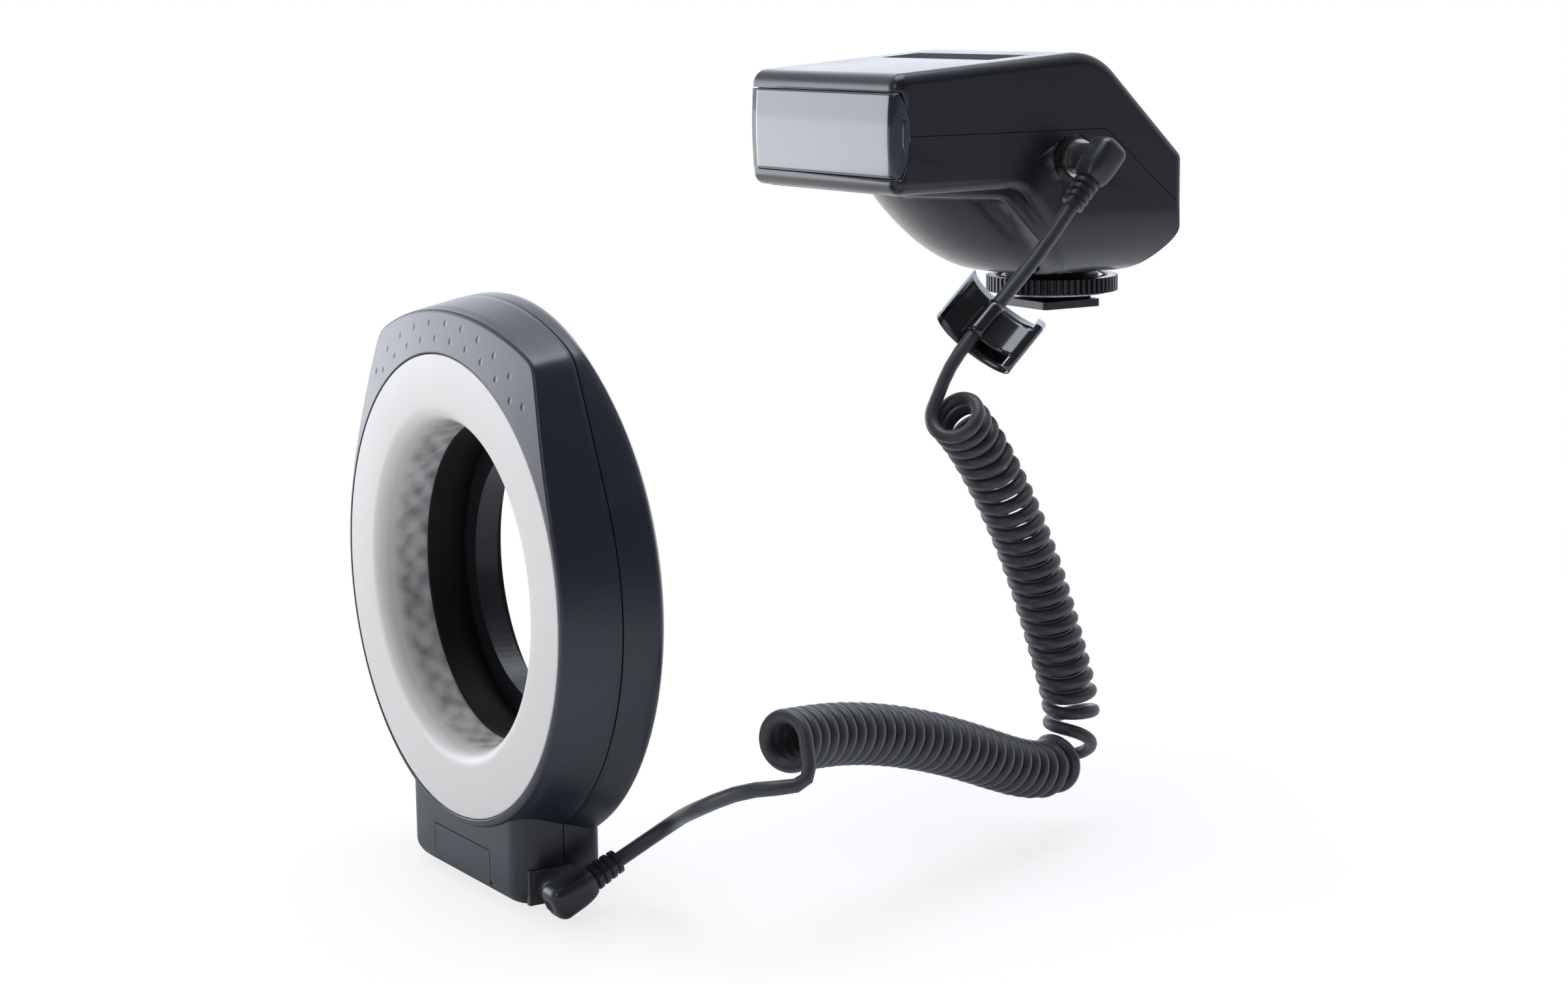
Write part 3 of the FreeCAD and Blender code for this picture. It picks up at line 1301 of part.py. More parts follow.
def controls():
    """Two push buttons, a slide switch and a pilot lamp on the rear slope."""
    under = -size.unit_wall - size.unit_wall * 0.6
    half_x, half_y, place = size.button_width / 2, size.button_length / 2, size.button_place
    board = -size.control_depth + size.control_gap
    for name, x in (("mode_button", -size.button_spacing), ("test_button", size.button_spacing)):
        cap = slope_box(x, place, half_x, half_y, under, size.button_proud)
        flange = slope_box(x, place, half_x + 1, half_y + 1, under, under + 0.9)
        stem = slope_box(x, place, 1.2, 1.2, board + size.button_travel, under + 0.5)
        solid(name, cap.fuse([flange, stem]))
    place, half_y = size.switch_place, size.switch_length / 2
    knob = slope_box(0, place, knob_half_width(), half_y, under, size.button_proud)
    base = slope_box(0, place, size.switch_width / 2, half_y + 1.1, under, under + 0.9)
    stem = slope_box(0, place, 1, 1, board, under + 0.5)
    solid("power_switch", knob.fuse([base, stem]))
    foot = Vector(0, size.lamp_place, -size.control_depth)
    lamp = Part.makeCylinder(size.pilot_radius, size.control_depth + size.pilot_proud, foot, Z_AXIS)
    solid("pilot_lamp", on_slope(lamp))


def unit_trim():
    """The rear panel and the dark band."""
    half = size.unit_half_width - size.unit_edge
    low, high = size.seam_end_z + 0.6, size.unit_slope_z - 0.8
    panel = box((-half, size.unit_rear_y, low), (half, size.unit_rear_y + size.rear_panel_proud, high))
    rim = [e for e in panel.Edges if e.BoundBox.YMin > size.unit_rear_y + size.rear_panel_proud - 0.01]
    solid("rear_panel", panel.makeChamfer(0.5, rim))
    solid("top_band", band_block(0, 0))


def unit_socket():
    """The unit's socket barrel with its bright threaded ring."""
    inward = Rotation(Y_AXIS, -90)
    recess = ("unit_half_width - jack_recess_depth", "jack_y", "jack_z")
    face = ("unit_half_width + jack_proud", "jack_y", "jack_z")
    barrel = primitive(
        "Part::Cylinder", "jack_barrel", recess, inward,
        Radius="socket_radius", Height="jack_length",
    )
    bore = primitive(
        "Part::Cylinder", "jack_barrel_bore", face, inward,
        Radius="pin_radius + pin_gap", Height="pin_length + pin_gap",
    )
    node(cut("jack_cut", barrel, bore), "jack_body")
    ring = primitive(
        "Part::Cylinder", "jack_ring", face, inward,
        Radius="jack_nut_radius", Height="jack_proud + jack_recess_depth",
    )
    hole = primitive(
        "Part::Cylinder", "jack_ring_bore", face, inward,
        Radius="pin_radius + pin_gap", Height="pin_length",
    )
    node(cut("jack_ring_cut", ring, hole), "jack_nut")


def unit_fasteners():
    """The unit's four long screws, head down."""
    screws = []
    for x, y, seat in shell_screw_places():
        screws.append(screw(Vector(x, y, seat), Z_AXIS, size.seam_z + size.unit_screw_bite - seat))
    solid("unit_screws", Part.makeCompound(screws))


# Shoe foot

def neck_low():
    """The underside of the threaded neck."""
    return size.shoe_plate + size.shoe_rail


def shoe_foot():
    """The square foot plate, its stem, the threaded neck and the spigot."""
    half_x, half_y = size.shoe_width / 2, size.shoe_length / 2
    plate = box((-half_x, -half_y, 0), (half_x, half_y, size.shoe_plate))
    corners = [e for e in plate.Edges if e.BoundBox.ZLength > size.shoe_plate / 2]
    plate = plate.makeFillet(1.2, corners)
    stem = box((-size.shoe_slot / 2, -half_y + 1, 0), (size.shoe_slot / 2, half_y - 1, neck_low() + 0.5))
    root = size.neck_radius - size.neck_thread_depth
    step = size.neck_thread_pitch
    threads = int((size.unit_floor_z - neck_low() - size.clamp_plate - 0.3) / step)
    first = neck_low() + size.clamp_plate + 0.1
    profile = [(0, neck_low() + 0.4), (root - 1, neck_low() + 0.4), (root, first)]
    crest = size.neck_radius
    for index in range(threads):
        height = first + index * step
        profile += [(crest, height + step * 0.4), (crest, height + step * 0.6), (root, height + step)]
    profile += [(root, size.unit_floor_z), (size.spigot_radius, size.unit_floor_z)]
    top = size.boss_top_z + size.neck_nut_height + 1
    profile += [(size.spigot_radius, top), (0, top)]
    wire = Part.makePolygon([Vector(r, 0, height) for r, height in profile + profile[:1]])
    neck = Part.Face(wire).revolve(Vector(), Z_AXIS, 360)
    shape = plate.fuse(stem).fuse(neck)
    shape = shape.cut(upright(0, 0, -1, size.shoe_plate + 1, size.contact_radius))
    return solid("shoe_foot", largest(shape))


def shoe_contact():
    """The middle contact in the foot plate."""
    button = primitive(
        "Part::Cylinder", "contact", ("0", "0", "0"), None,
        Radius="contact_radius", Height="shoe_plate + 1",
    )
    return node(button, "shoe_contact")


def clamp_plate():
    """The round pressure plate under the lock ring."""
    piece = body("clamp_plate", ("0", "0", "shoe_plate + shoe_rail"))
    drawing = sketch(piece, "XY_Plane")
    circle(drawing, "clamp_plate_radius")
    circle(drawing, "neck_radius + lock_ring_play")
    padded(piece, drawing, "clamp_plate")


def lock_ring():
    """The knurled lock ring: ribs round the edge and a dish on top."""
    low = neck_low() + size.clamp_plate + 0.05
    count = int(size.lock_ring_ribs)
    inner, outer = size.lock_ring_radius - size.lock_ring_rib, size.lock_ring_radius
    corners = []
    for index in range(count):
        for share, radius in ((0, inner), (0.18, outer), (0.62, outer), (0.8, inner)):
            angle = 2 * math.pi * (index + share) / count
            corners.append(Vector(radius * math.cos(angle), radius * math.sin(angle), low))
    ring = Part.Face(Part.makePolygon(corners + corners[:1])).extrude(Z_AXIS * size.lock_ring_height)
    high = low + size.lock_ring_height
    ring = ring.cut(upright(0, 0, low - 1, high + 1, size.neck_radius + size.lock_ring_play))
    dish = upright(0, 0, high - size.lock_ring_dish, high + 1, inner - size.lock_ring_rim)
    collar = upright(0, 0, low, high + 2, size.neck_radius + size.lock_ring_collar)
    return solid("lock_ring", largest(ring.cut(dish.cut(collar))))


def neck_nut():
    """The round nut that holds the neck from inside the unit."""
    piece = body("neck_nut", ("0", "0", "boss_top_z"))
    drawing = sketch(piece, "XY_Plane")
    circle(drawing, "neck_nut_radius")
    circle(drawing, "spigot_radius")
    padded(piece, drawing, "neck_nut_height")


# Cord

COIL_AXIS = [
    (54, -70.7, -16.6), (50.4, -63.6, -21.8), (48, -56.4, -30), (47, -48.2, -43.2), (46.6, -41.6, -57),
    (46.4, -36.6, -70), (46.2, -32.6, -82), (46, -28.8, -93), (45.8, -27.6, -103), (48.4, -34.6, -111),
    (54, -50, -107.5), (60, -68, -99.4), (66.6, -86.5, -92), (73.4, -105.2, -86), (79.8, -122.6, -82),
    (89.5, -141.5, -79.2),
]
SAMPLES = 40
CURL_START = Vector(-0.92, -0.23, 0.336)
UPPER_ENDS = (12, 8)
UPPER_SHARE = 0.6
LOWER_ENDS = (17.5, 6.5)
LOWER_TURNS = [(67.98, -153.45, -98.42), (89.6, -151.5, -88.2)]
FLAG_FACING = Vector(0.84, -0.52, 0.17)
FLAG_SHARE = 0.655
FLAG_BACK = [
    (-9.6, 1.4), (-8, -0.8), (-4.5, -2.6), (0, -3.1), (4.5, -2.7), (8.5, -1.4), (11.2, 0.3), (12.2, 2),
    (11.4, 3.4), (9.8, 3.2),
]
FLAG_RETURN = [(11.4, 3.4), (9.8, 3.2), (7.6, 1.7), (4.6, 0.8), (1.9, 0.4)]


def coil_curve():
    """Points of a cubic B-spline along the middle of the coil, a fixed number for each stretch."""
    ends = [Vector(*spot) for spot in COIL_AXIS]
    control = [ends[0] * 2 - ends[1]] + ends + [ends[-1] * 2 - ends[-2]]
    points = []
    for index in range(len(control) - 3):
        p, q, r, w = control[index:index + 4]
        for step in range(SAMPLES):
            u = step / SAMPLES
            weights = (
                (1 - u) ** 3,
                3 * u ** 3 - 6 * u ** 2 + 4,
                -3 * u ** 3 + 3 * u ** 2 + 3 * u + 1,
                u ** 3,
            )
            points.append((p * weights[0] + q * weights[1] + r * weights[2] + w * weights[3]) * (1 / 6))
    return points + [ends[-1]]


def coil_frames():
    """The coil's axis with a frame carried along it and the angle of the curl at every point."""
    points = coil_curve()
    tangents = []
    for index in range(len(points)):
        ahead, behind = points[min(index + 1, len(points) - 1)], points[max(index - 1, 0)]
        tangents.append((ahead - behind).normalize())
    sides = [(CURL_START - tangents[0] * CURL_START.dot(tangents[0])).normalize()]
    angles = [0.0]
    for index in range(1, len(points)):
        side = sides[-1] - tangents[index] * sides[-1].dot(tangents[index])
        sides.append(side.normalize())
        stretch = (points[index] - points[index - 1]).Length
        bend = tangents[index].getAngle(tangents[index - 1]) / stretch
        angles.append(angles[-1] + stretch * (1 - min(size.curl_radius * bend, 0.8)))
    scale = 2 * math.pi * size.curl_turns / angles[-1]
    return points, tangents, sides, [angle * scale for angle in angles]


def curl_points(each):
    """Points of the curled wire, so many for each turn, by walking the curl's angle."""
    points, tangents, sides, angles = coil_frames()
    total = angles[-1]
    count = int(round(total / (2 * math.pi) * each))
    wire = []
    index = 0
    for step in range(count + 1):
        angle = total * step / count
        while index < len(angles) - 2 and angles[index + 1] < angle:
            index += 1
        share = (angle - angles[index]) / (angles[index + 1] - angles[index])
        middle = points[index] + (points[index + 1] - points[index]) * share
        side = (sides[index] + (sides[index + 1] - sides[index]) * share).normalize()
        along = (tangents[index] + (tangents[index + 1] - tangents[index]) * share).normalize()
        across = along.cross(side)
        wire.append(middle + (side * math.cos(angle) - across * math.sin(angle)) * size.curl_radius)
    return wire


def arc_edge(start, tangent, end):
    """A circular arc from a point along a tangent to another point, and the tangent at its end."""
    chord = end - start
    along = chord * (1 / chord.Length)
    across = tangent - along * tangent.dot(along)
    if across.Length < 1e-7:
        return Part.LineSegment(start, end).toShape(), tangent
    half = tangent.getAngle(along)
    middle = (start + end) * 0.5 + across.normalize() * (chord.Length / 2 * math.tan(half / 2))
    return Part.Arc(start, middle, end).toShape(), along * (2 * math.cos(half)) - tangent


def biarc(start, first, end, last):
    """Two tangent arcs between two points with given directions."""
    chord = end - start
    both = first + last
    ease = 2 * (1 - first.dot(last))
    if ease < 1e-9:
        reach = chord.dot(chord) / (4 * chord.dot(last))
    else:
        slope = chord.dot(both)
        reach = (-slope + math.sqrt(slope * slope + ease * chord.dot(chord))) / ease
    joint = (start + end + (first - last) * reach) * 0.5
    one, heading = arc_edge(start, first, joint)
    two, heading = arc_edge(joint, heading, end)
    return [one, two]


def swept(edges, radius, start, direction):
    """A round tube along a chain of tangent edges."""
    spine = Part.Wire(edges)
    ring = Part.Wire([Part.Circle(start, direction, radius).toShape()])
    tube = spine.makePipeShell([ring], True, False)
    volume = math.pi * radius ** 2 * spine.Length
    return tube, volume, spine.Length


def curl():
    """The curled stretch: half-turn biarcs, with a straight stub of one diameter at both ends."""
    fine = 64
    points = curl_points(fine)
    step = fine // 2
    stations = list(range(0, len(points) - step // 2, step))
    stations[-1] = len(points) - 1 if len(points) - 1 - stations[-1] < step // 2 else stations[-1]
    if stations[-1] != len(points) - 1:
        stations.append(len(points) - 1)

    def heading(index):
        ahead, behind = points[min(index + 1, len(points) - 1)], points[max(index - 1, 0)]
        return (ahead - behind).normalize()

    first, last = heading(0), heading(len(points) - 1)
    start = points[0] - first * size.curl_wire
    end = points[-1] + last * size.curl_wire
    edges = [Part.LineSegment(start, points[0]).toShape()]
    for here, there in zip(stations, stations[1:]):
        edges += biarc(points[here], heading(here), points[there], heading(there))
    edges.append(Part.LineSegment(points[-1], end).toShape())
    tube, volume, length = swept(edges, size.curl_wire / 2, start, first)
    least = self_gap(edges, size.curl_wire)
    ratio = tube.Volume / volume
    print("curl: length %.0f mm, volume ratio %.4f, least self gap %.2f mm" % (length, ratio, least))
    solid("cord_coil", tube)
    return (start, first), (end, last), length


def self_gap(edges, diameter):
    """The least clear distance between two turns, measured on points along the wire's middle."""
    points = []
    along = []
    travelled = 0.0
    for edge in edges:
        pieces = max(int(edge.Length / 0.4), 1)
        for index, spot in enumerate(edge.discretize(Number=pieces + 1)[:-1]):
            points.append(spot)
            along.append(travelled + edge.Length * index / pieces)
        travelled += edge.Length
    cell = 2 * diameter
    apart = 3 * diameter
    grid = {}
    for index, spot in enumerate(points):
        grid.setdefault((int(spot.x // cell), int(spot.y // cell), int(spot.z // cell)), []).append(index)
    least = cell
    for (i, j, k), members in grid.items():
        near = []
        for a in (i - 1, i, i + 1):
            for b in (j - 1, j, j + 1):
                for c in (k - 1, k, k + 1):
                    near += grid.get((a, b, c), [])
        for one in members:
            for other in near:
                if along[other] - along[one] > apart:
                    least = min(least, points[one].distanceToPoint(points[other]))
    return least - diameter


def run_reach(length, at_end):
    """How much of a run an arc may take: most of an end run, less than half of an inner one."""
    return length * (0.9 if at_end else 0.45)


def lead(name, route):
    """A straight lead: runs joined by arcs as large as the runs allow."""
    radii = []
    edges = []
    previous = route[0]
    for index in range(1, len(route) - 1):
        corner = route[index]
        before, after = corner - route[index - 1], route[index + 1] - corner
        turn = before.getAngle(after)
        if turn < STRAIGHT:
            continue
        reach = min(run_reach(before.Length, index == 1), run_reach(after.Length, index == len(route) - 2))
        radii.append(reach / math.tan(turn / 2))
        into, out = before * (1 / before.Length), after * (1 / after.Length)
        start, end = corner - into * reach, corner + out * reach
        bisector = (out - into).normalize()
        middle = corner + bisector * (radii[-1] / math.cos(turn / 2) - radii[-1])
        edges.append(Part.LineSegment(previous, start).toShape())
        edges.append(Part.Arc(start, middle, end).toShape())
        previous = end
    edges.append(Part.LineSegment(previous, route[-1]).toShape())
    direction = (route[1] - route[0]).normalize()
    tube, volume, length = swept(edges, size.lead_diameter / 2, route[0], direction)
    shown = ", ".join("%.1f" % radius for radius in radii)
    ratio = tube.Volume / volume
    print("%s: length %.0f mm, volume ratio %.4f, arc radii %s mm" % (name, length, ratio, shown))
    solid(name, tube)
    return length


STRAIGHT = 0.001


def cord(ring_exit, unit_exit):
    """The whole cord from plug to plug, and the flag label on its upper lead."""
    (top, top_heading), (low, low_heading), total = curl()
    (unit_start, unit_way), (ring_start, ring_way) = unit_exit, ring_exit
    first, last = unit_start + unit_way * UPPER_ENDS[0], top - top_heading * UPPER_ENDS[1]
    upper = [unit_start, first, lerp(first, last, UPPER_SHARE), last, top]
    lower = [ring_start, ring_start + ring_way * LOWER_ENDS[0]]
    lower += [Vector(*spot) for spot in LOWER_TURNS]
    lower += [low + low_heading * LOWER_ENDS[1], low]
    total += lead("upper_lead", upper)
    total += lead("lower_lead", lower)
    print("cord: %.0f mm from plug to plug" % total)
    flag_label(first, last)


def strip(points, thickness, to_space, run):
    """A bent strip: a smooth line given a thickness and carried along the lead."""
    sides = ([], [])
    for index, (a, b) in enumerate(points):
        a1, b1 = points[min(index + 1, len(points) - 1)]
        a0, b0 = points[max(index - 1, 0)]
        long = math.hypot(a1 - a0, b1 - b0)
        shift_a, shift_b = -(b1 - b0) / long * thickness / 2, (a1 - a0) / long * thickness / 2
        sides[0].append(to_space(a + shift_a, b + shift_b))
        sides[1].append(to_space(a - shift_a, b - shift_b))
    curves = []
    for side in sides:
        curve = Part.BSplineCurve()
        curve.interpolate(side)
        curves.append(curve.toShape())
    ends = [Part.LineSegment(sides[0][i], sides[1][i]).toShape() for i in (0, -1)]
    return Part.Face(Part.Wire([curves[0], ends[1], curves[1], ends[0]])).extrude(run)


def flag_label(first, last):
    """The blank flag label: a sleeve round the lead, a wide flag behind it and a fold at one side."""
    along = (last - first).normalize()
    middle = lerp(first, last, FLAG_SHARE)
    toward = (FLAG_FACING - along * FLAG_FACING.dot(along)).normalize()
    across = toward.cross(along)
    hole = size.lead_diameter / 2
    outer = hole + size.label_thickness

    def spot(start):
        return lambda a, b: start + across * a + toward * b

    wide, narrow = size.label_length, size.label_sleeve
    wide_start, narrow_start = middle - along * (wide / 2), middle - along * (narrow / 2)
    shape = strip(FLAG_BACK, size.label_thickness, spot(wide_start), along * wide)
    shape = shape.fuse(strip(FLAG_RETURN, size.label_thickness, spot(narrow_start), along * narrow))
    shape = shape.fuse(Part.makeCylinder(outer, narrow, narrow_start, along))
    shape = shape.cut(Part.makeCylinder(hole, wide + 4, wide_start - along * 2, along))
    solid("flag_label", largest(shape))


def build():
    ring_front_shell()
    ring_rear_shell()
    diffuser()
    lamp_board()
    lamps()
    ring_fasteners()
    badge_plate()
    driver_board()
    socket_panel()
    ring_socket()
    adapter_ring()
    ring_exit, unit_exit = plugs()
    unit_shells()
    battery_door()
    battery_box()
    boards()
    controls()
    unit_trim()
    unit_socket()
    unit_fasteners()
    shoe_foot()
    shoe_contact()
    clamp_plate()
    lock_ring()
    neck_nut()
    cord(ring_exit, unit_exit)


def check_and_export():
    """Refuses failed objects and bad shapes, then writes one file for each node."""
    doc.recompute()
    for thing in doc.Objects:
        if "Invalid" in thing.State or "Error" in thing.State:
            raise ValueError("%s: %s" % (thing.Label, thing.State))
    os.makedirs("parts", exist_ok=True)
    for thing in NODES:
        if thing.Shape.isNull() or not thing.Shape.isValid():
            raise ValueError("%s: bad shape" % thing.Label)
        thing.Shape.exportStep("parts/%s.step" % thing.Label)
        print("%-18s solids %d volume %.1f" % (thing.Label, len(thing.Shape.Solids), thing.Shape.Volume))


build()
check_and_export()
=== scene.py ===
"""Looks of a macro ring light: a lamp ring, a curly cord with angled plugs, and a control unit on a shoe.

The row frame has +Z up, the ring facing -Y and the sockets on the +X side. Sizes are millimetres unless a
name says otherwise, and every mesh is written in metres.
"""

import json
import logging
import math
from dataclasses import dataclass, field
from enum import Enum
from typing import Sequence

import bmesh
import bpy
import numpy as np
from mathutils import Matrix, Vector

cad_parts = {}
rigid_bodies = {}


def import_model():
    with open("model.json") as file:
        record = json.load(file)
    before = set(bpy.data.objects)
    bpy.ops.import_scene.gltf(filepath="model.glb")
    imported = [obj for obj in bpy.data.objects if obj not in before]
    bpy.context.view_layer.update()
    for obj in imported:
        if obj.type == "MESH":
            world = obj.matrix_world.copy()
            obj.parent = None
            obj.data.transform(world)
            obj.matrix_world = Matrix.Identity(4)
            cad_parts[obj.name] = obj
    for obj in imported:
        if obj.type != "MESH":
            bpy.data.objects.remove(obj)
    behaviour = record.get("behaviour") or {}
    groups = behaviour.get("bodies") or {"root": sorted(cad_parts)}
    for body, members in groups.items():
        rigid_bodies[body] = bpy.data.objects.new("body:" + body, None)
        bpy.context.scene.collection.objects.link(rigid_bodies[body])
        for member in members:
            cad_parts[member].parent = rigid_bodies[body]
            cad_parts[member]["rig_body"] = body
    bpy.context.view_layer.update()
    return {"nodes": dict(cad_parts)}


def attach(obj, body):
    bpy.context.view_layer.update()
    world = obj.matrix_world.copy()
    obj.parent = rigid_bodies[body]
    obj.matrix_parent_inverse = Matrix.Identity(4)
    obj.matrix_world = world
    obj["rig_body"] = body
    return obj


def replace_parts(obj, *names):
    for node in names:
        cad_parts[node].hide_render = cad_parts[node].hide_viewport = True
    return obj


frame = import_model()

MM = 0.001
ROOT = "ring_light"
log = logging.getLogger("ring_light")

Pair = tuple[float, float]
Triple = tuple[float, float, float]

SHEET_WELD = 0.0001 * MM
COPY_WELD = 0.0005 * MM

RING_FRONT_Y = -178.7
RING_AXIS_Z = -55.0
SPLIT_DEPTH = 13.5


class Winding(Enum):
    """Which way round a grid's faces are wound."""

    FORWARD = 1
    BACKWARD = -1


class Half(Enum):
    """Which half of the ring head: the one before its seam or the one behind it."""

    FRONT = -1
    REAR = 1


# Meshes


def unit(vector: np.ndarray) -> np.ndarray:
    """Vectors scaled to length one.

    Args:
        vector: one vector, or a row of vectors.

    Returns:
        The same array with every vector divided by its length.
    """
    return vector / np.linalg.norm(vector, axis=-1, keepdims=True)


def head(x: np.ndarray, z: np.ndarray, depth: np.ndarray) -> np.ndarray:
    """Points of the ring head in the row frame.

    Args:
        x: across, from the lens axis.
        z: up, from the lens axis.
        depth: behind the head's front plane.

    Returns:
        An array with the three coordinates last.
    """
    x, z, depth = np.broadcast_arrays(x, z, depth)
    return np.stack([x, RING_FRONT_Y + depth, RING_AXIS_Z + z], axis=-1)


def around(radius: float | np.ndarray, angle: np.ndarray, depth: float | np.ndarray) -> np.ndarray:
    """Points of the ring head by radius and angle round the lens axis, and by depth behind its front."""
    return head(radius * np.cos(angle), radius * np.sin(angle), depth)


def soft_least(first: np.ndarray, second: np.ndarray, width: float) -> np.ndarray:
    """The least of two curves, rounded where they cross: (a + b - sqrt((a - b)^2 + width^2)) / 2."""
    return (first + second - np.sqrt((first - second) ** 2 + width**2)) / 2


def signed_power(value: np.ndarray, power: float | np.ndarray) -> np.ndarray:
    """A value's size to a power with the value's sign: sign(v) |v|^power."""
    return np.sign(value) * np.abs(value) ** power


def as_object(name: str, mesh: bpy.types.Mesh, finish: bpy.types.Material, body: str) -> bpy.types.Object:
    """Links a mesh as a piece that rides on a body.

    Args:
        name: the piece's name.
        mesh: its mesh, in metres in the row frame.
        finish: its material.
        body: the CAD body that it moves with.

    Returns:
        The new object.
    """
    piece = bpy.data.objects.new(name, mesh)
    bpy.context.scene.collection.objects.link(piece)
    mesh.materials.append(finish)
    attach(piece, body)
    log.info("piece %s on %s", name, body)
    return piece


def smooth(mesh: bpy.types.Mesh, sharp_degrees: float) -> None:
    """Shades a mesh smooth except across its sharp edges.

    Args:
        mesh: the mesh to shade.
        sharp_degrees: edges that turn by more stay sharp.
    """
    mesh.polygons.foreach_set("use_smooth", np.ones(len(mesh.polygons), dtype=bool))
    mesh.set_sharp_from_angle(angle=math.radians(sharp_degrees))
    mesh.update()


def weld(source: bpy.types.Mesh, target: bpy.types.Mesh, distance: float) -> None:
    """Writes a mesh with its close vertices merged, so that no face is left without an area.

    Args:
        source: the mesh to read.
        target: the mesh to write, which may be the same one.
        distance: how near two vertices are when they become one, in metres.
    """
    work = bmesh.new()
    work.from_mesh(source)
    bmesh.ops.remove_doubles(work, verts=work.verts, dist=distance)
    work.to_mesh(target)
    work.free()


def sheet_mesh(
    name: str,
    points: np.ndarray,
    close_rows: bool = False,
    close_columns: bool = False,
    cap: bool = False,
    winding: Winding = Winding.FORWARD,
    sharp_degrees: float = 35.0,
) -> bpy.types.Mesh:
    """A mesh over a two-parameter grid of points.

    Face (i, j) joins points (i, j), (i, j+1), (i+1, j+1) and (i+1, j), and a closed direction joins its last
    line to its first. A row that repeats the one before it is left out.

    Args:
        name: the mesh's name.
        points: rows by columns by three, in millimetres.
        close_rows: joins the last row to the first.
        close_columns: joins the last column to the first.
        cap: closes the first and last row with one face each.
        winding: which way round the faces go.
        sharp_degrees: edges that turn by more stay sharp.

    Returns:
        The mesh, in metres, with a UV map that runs along both parameters.
    """
    same = 1e-6
    moved = np.abs(np.diff(points, axis=0)).max(axis=(1, 2)) > same
    points = points[np.concatenate([[True], moved])]
    rows, columns = points.shape[:2]
    row = np.arange(rows if close_rows else rows - 1)
    column = np.arange(columns if close_columns else columns - 1)
    i, j = np.meshgrid(row, column, indexing="ij")
    a = i * columns + j
    b = i * columns + (j + 1) % columns
    c = ((i + 1) % rows) * columns + (j + 1) % columns
    d = ((i + 1) % rows) * columns + j
    order = [a, b, c, d] if winding is Winding.FORWARD else [d, c, b, a]
    quads = np.stack(order, axis=-1).reshape(-1, 4)
    faces = quads.tolist()
    if cap:
        first = list(range(columns))
        last = list(range((rows - 1) * columns, rows * columns))
        faces.append(first[::-1] if winding is Winding.FORWARD else first)
        faces.append(last if winding is Winding.FORWARD else last[::-1])
    mesh = bpy.data.meshes.new(name)
    mesh.from_pydata((points.reshape(-1, 3) * MM).tolist(), [], faces)
    uv = mesh.uv_layers.new(name="along").data
    corner_v = np.stack([i, i, i + 1, i + 1], axis=-1).reshape(-1) / max(rows - 1, 1)
    corner_u = np.stack([j, j + 1, j + 1, j], axis=-1).reshape(-1) / max(columns - 1, 1)
    if winding is Winding.BACKWARD:
        corner_u = corner_u.reshape(-1, 4)[:, ::-1].reshape(-1)
        corner_v = corner_v.reshape(-1, 4)[:, ::-1].reshape(-1)
    coordinates = np.zeros((len(mesh.loops), 2), np.float32)
    coordinates[: len(corner_u), 0] = corner_u
    coordinates[: len(corner_v), 1] = corner_v
    uv.foreach_set("uv", coordinates.ravel())
    weld(mesh, mesh, SHEET_WELD)
    smooth(mesh, sharp_degrees)
    return mesh


def joined(name: str, meshes: Sequence[bpy.types.Mesh], sharp_degrees: float = 35.0) -> bpy.types.Mesh:
    """Several meshes as one, with their sharp edges found again.

    Args:
        name: the new mesh's name.
        meshes: the meshes to join, which are removed.
        sharp_degrees: edges that turn by more stay sharp.

    Returns:
        One mesh.
    """
    work = bmesh.new()
    for mesh in meshes:
        work.from_mesh(mesh)
    result = bpy.data.meshes.new(name)
    work.to_mesh(result)
    work.free()
    for mesh in meshes:
        bpy.data.meshes.remove(mesh)
    smooth(result, sharp_degrees)
    return result


def turned_rows(profile: np.ndarray, columns: int) -> np.ndarray:
    """A profile turned about an axis: radius r and height h give (r cos a, r sin a, h) for angles a.

    Args:
        profile: points by (radius, height).
        columns: points round the axis.

    Returns:
        Rows by columns by (across, up, along).
    """
    angle = np.arange(columns) * 2 * math.pi / columns
    radius, height = profile[:, :1], profile[:, 1:]
    return np.stack([radius * np.cos(angle), radius * np.sin(angle), height + 0 * angle], axis=-1)


def round_corner(before: Pair, corner: Pair, after: Pair, radius: float, steps: int) -> np.ndarray:
    """A corner of a profile as points on a circle that touches both sides.

    Args:
        before: a point on the side that comes in.
        corner: the sharp corner.
        after: a point on the side that goes out.
        radius: the circle's radius.
        steps: arc's points less one.

    Returns:
        Points by two.
    """
    b, c, a = np.array(before, float), np.array(corner, float), np.array(after, float)
    into, out = unit(c - b), unit(a - c)
    half = math.acos(float(np.clip(into @ out, -1, 1))) / 2
    centre = c + unit(out - into) * radius / math.cos(half)
    reach = radius * math.tan(half)
    first, last = c - into * reach - centre, c + out * reach - centre
    share = np.linspace(0, 1, steps + 1)[:, None]
    angle = 2 * half
    arc = (np.sin((1 - share) * angle) * first + np.sin(share * angle) * last) / math.sin(angle)
    return centre + arc


def rounded_profile(corners: Sequence[Triple], steps: int = 6) -> np.ndarray:
    """An open profile whose inner corners are rounded.

    Args:
        corners: points by (first, second, radius); the ends' radius isn't used.
        steps: points of each arc less one.

    Returns:
        Points by two.
    """
    points = [np.array([corners[0][:2]], float)]
    for before, here, after in zip(corners, corners[1:], corners[2:]):
        if here[2] > 0:
            points.append(round_corner(before[:2], here[:2], after[:2], here[2], steps))
        else:
            points.append(np.array([here[:2]], float))
    points.append(np.array([corners[-1][:2]], float))
    return np.concatenate(points)


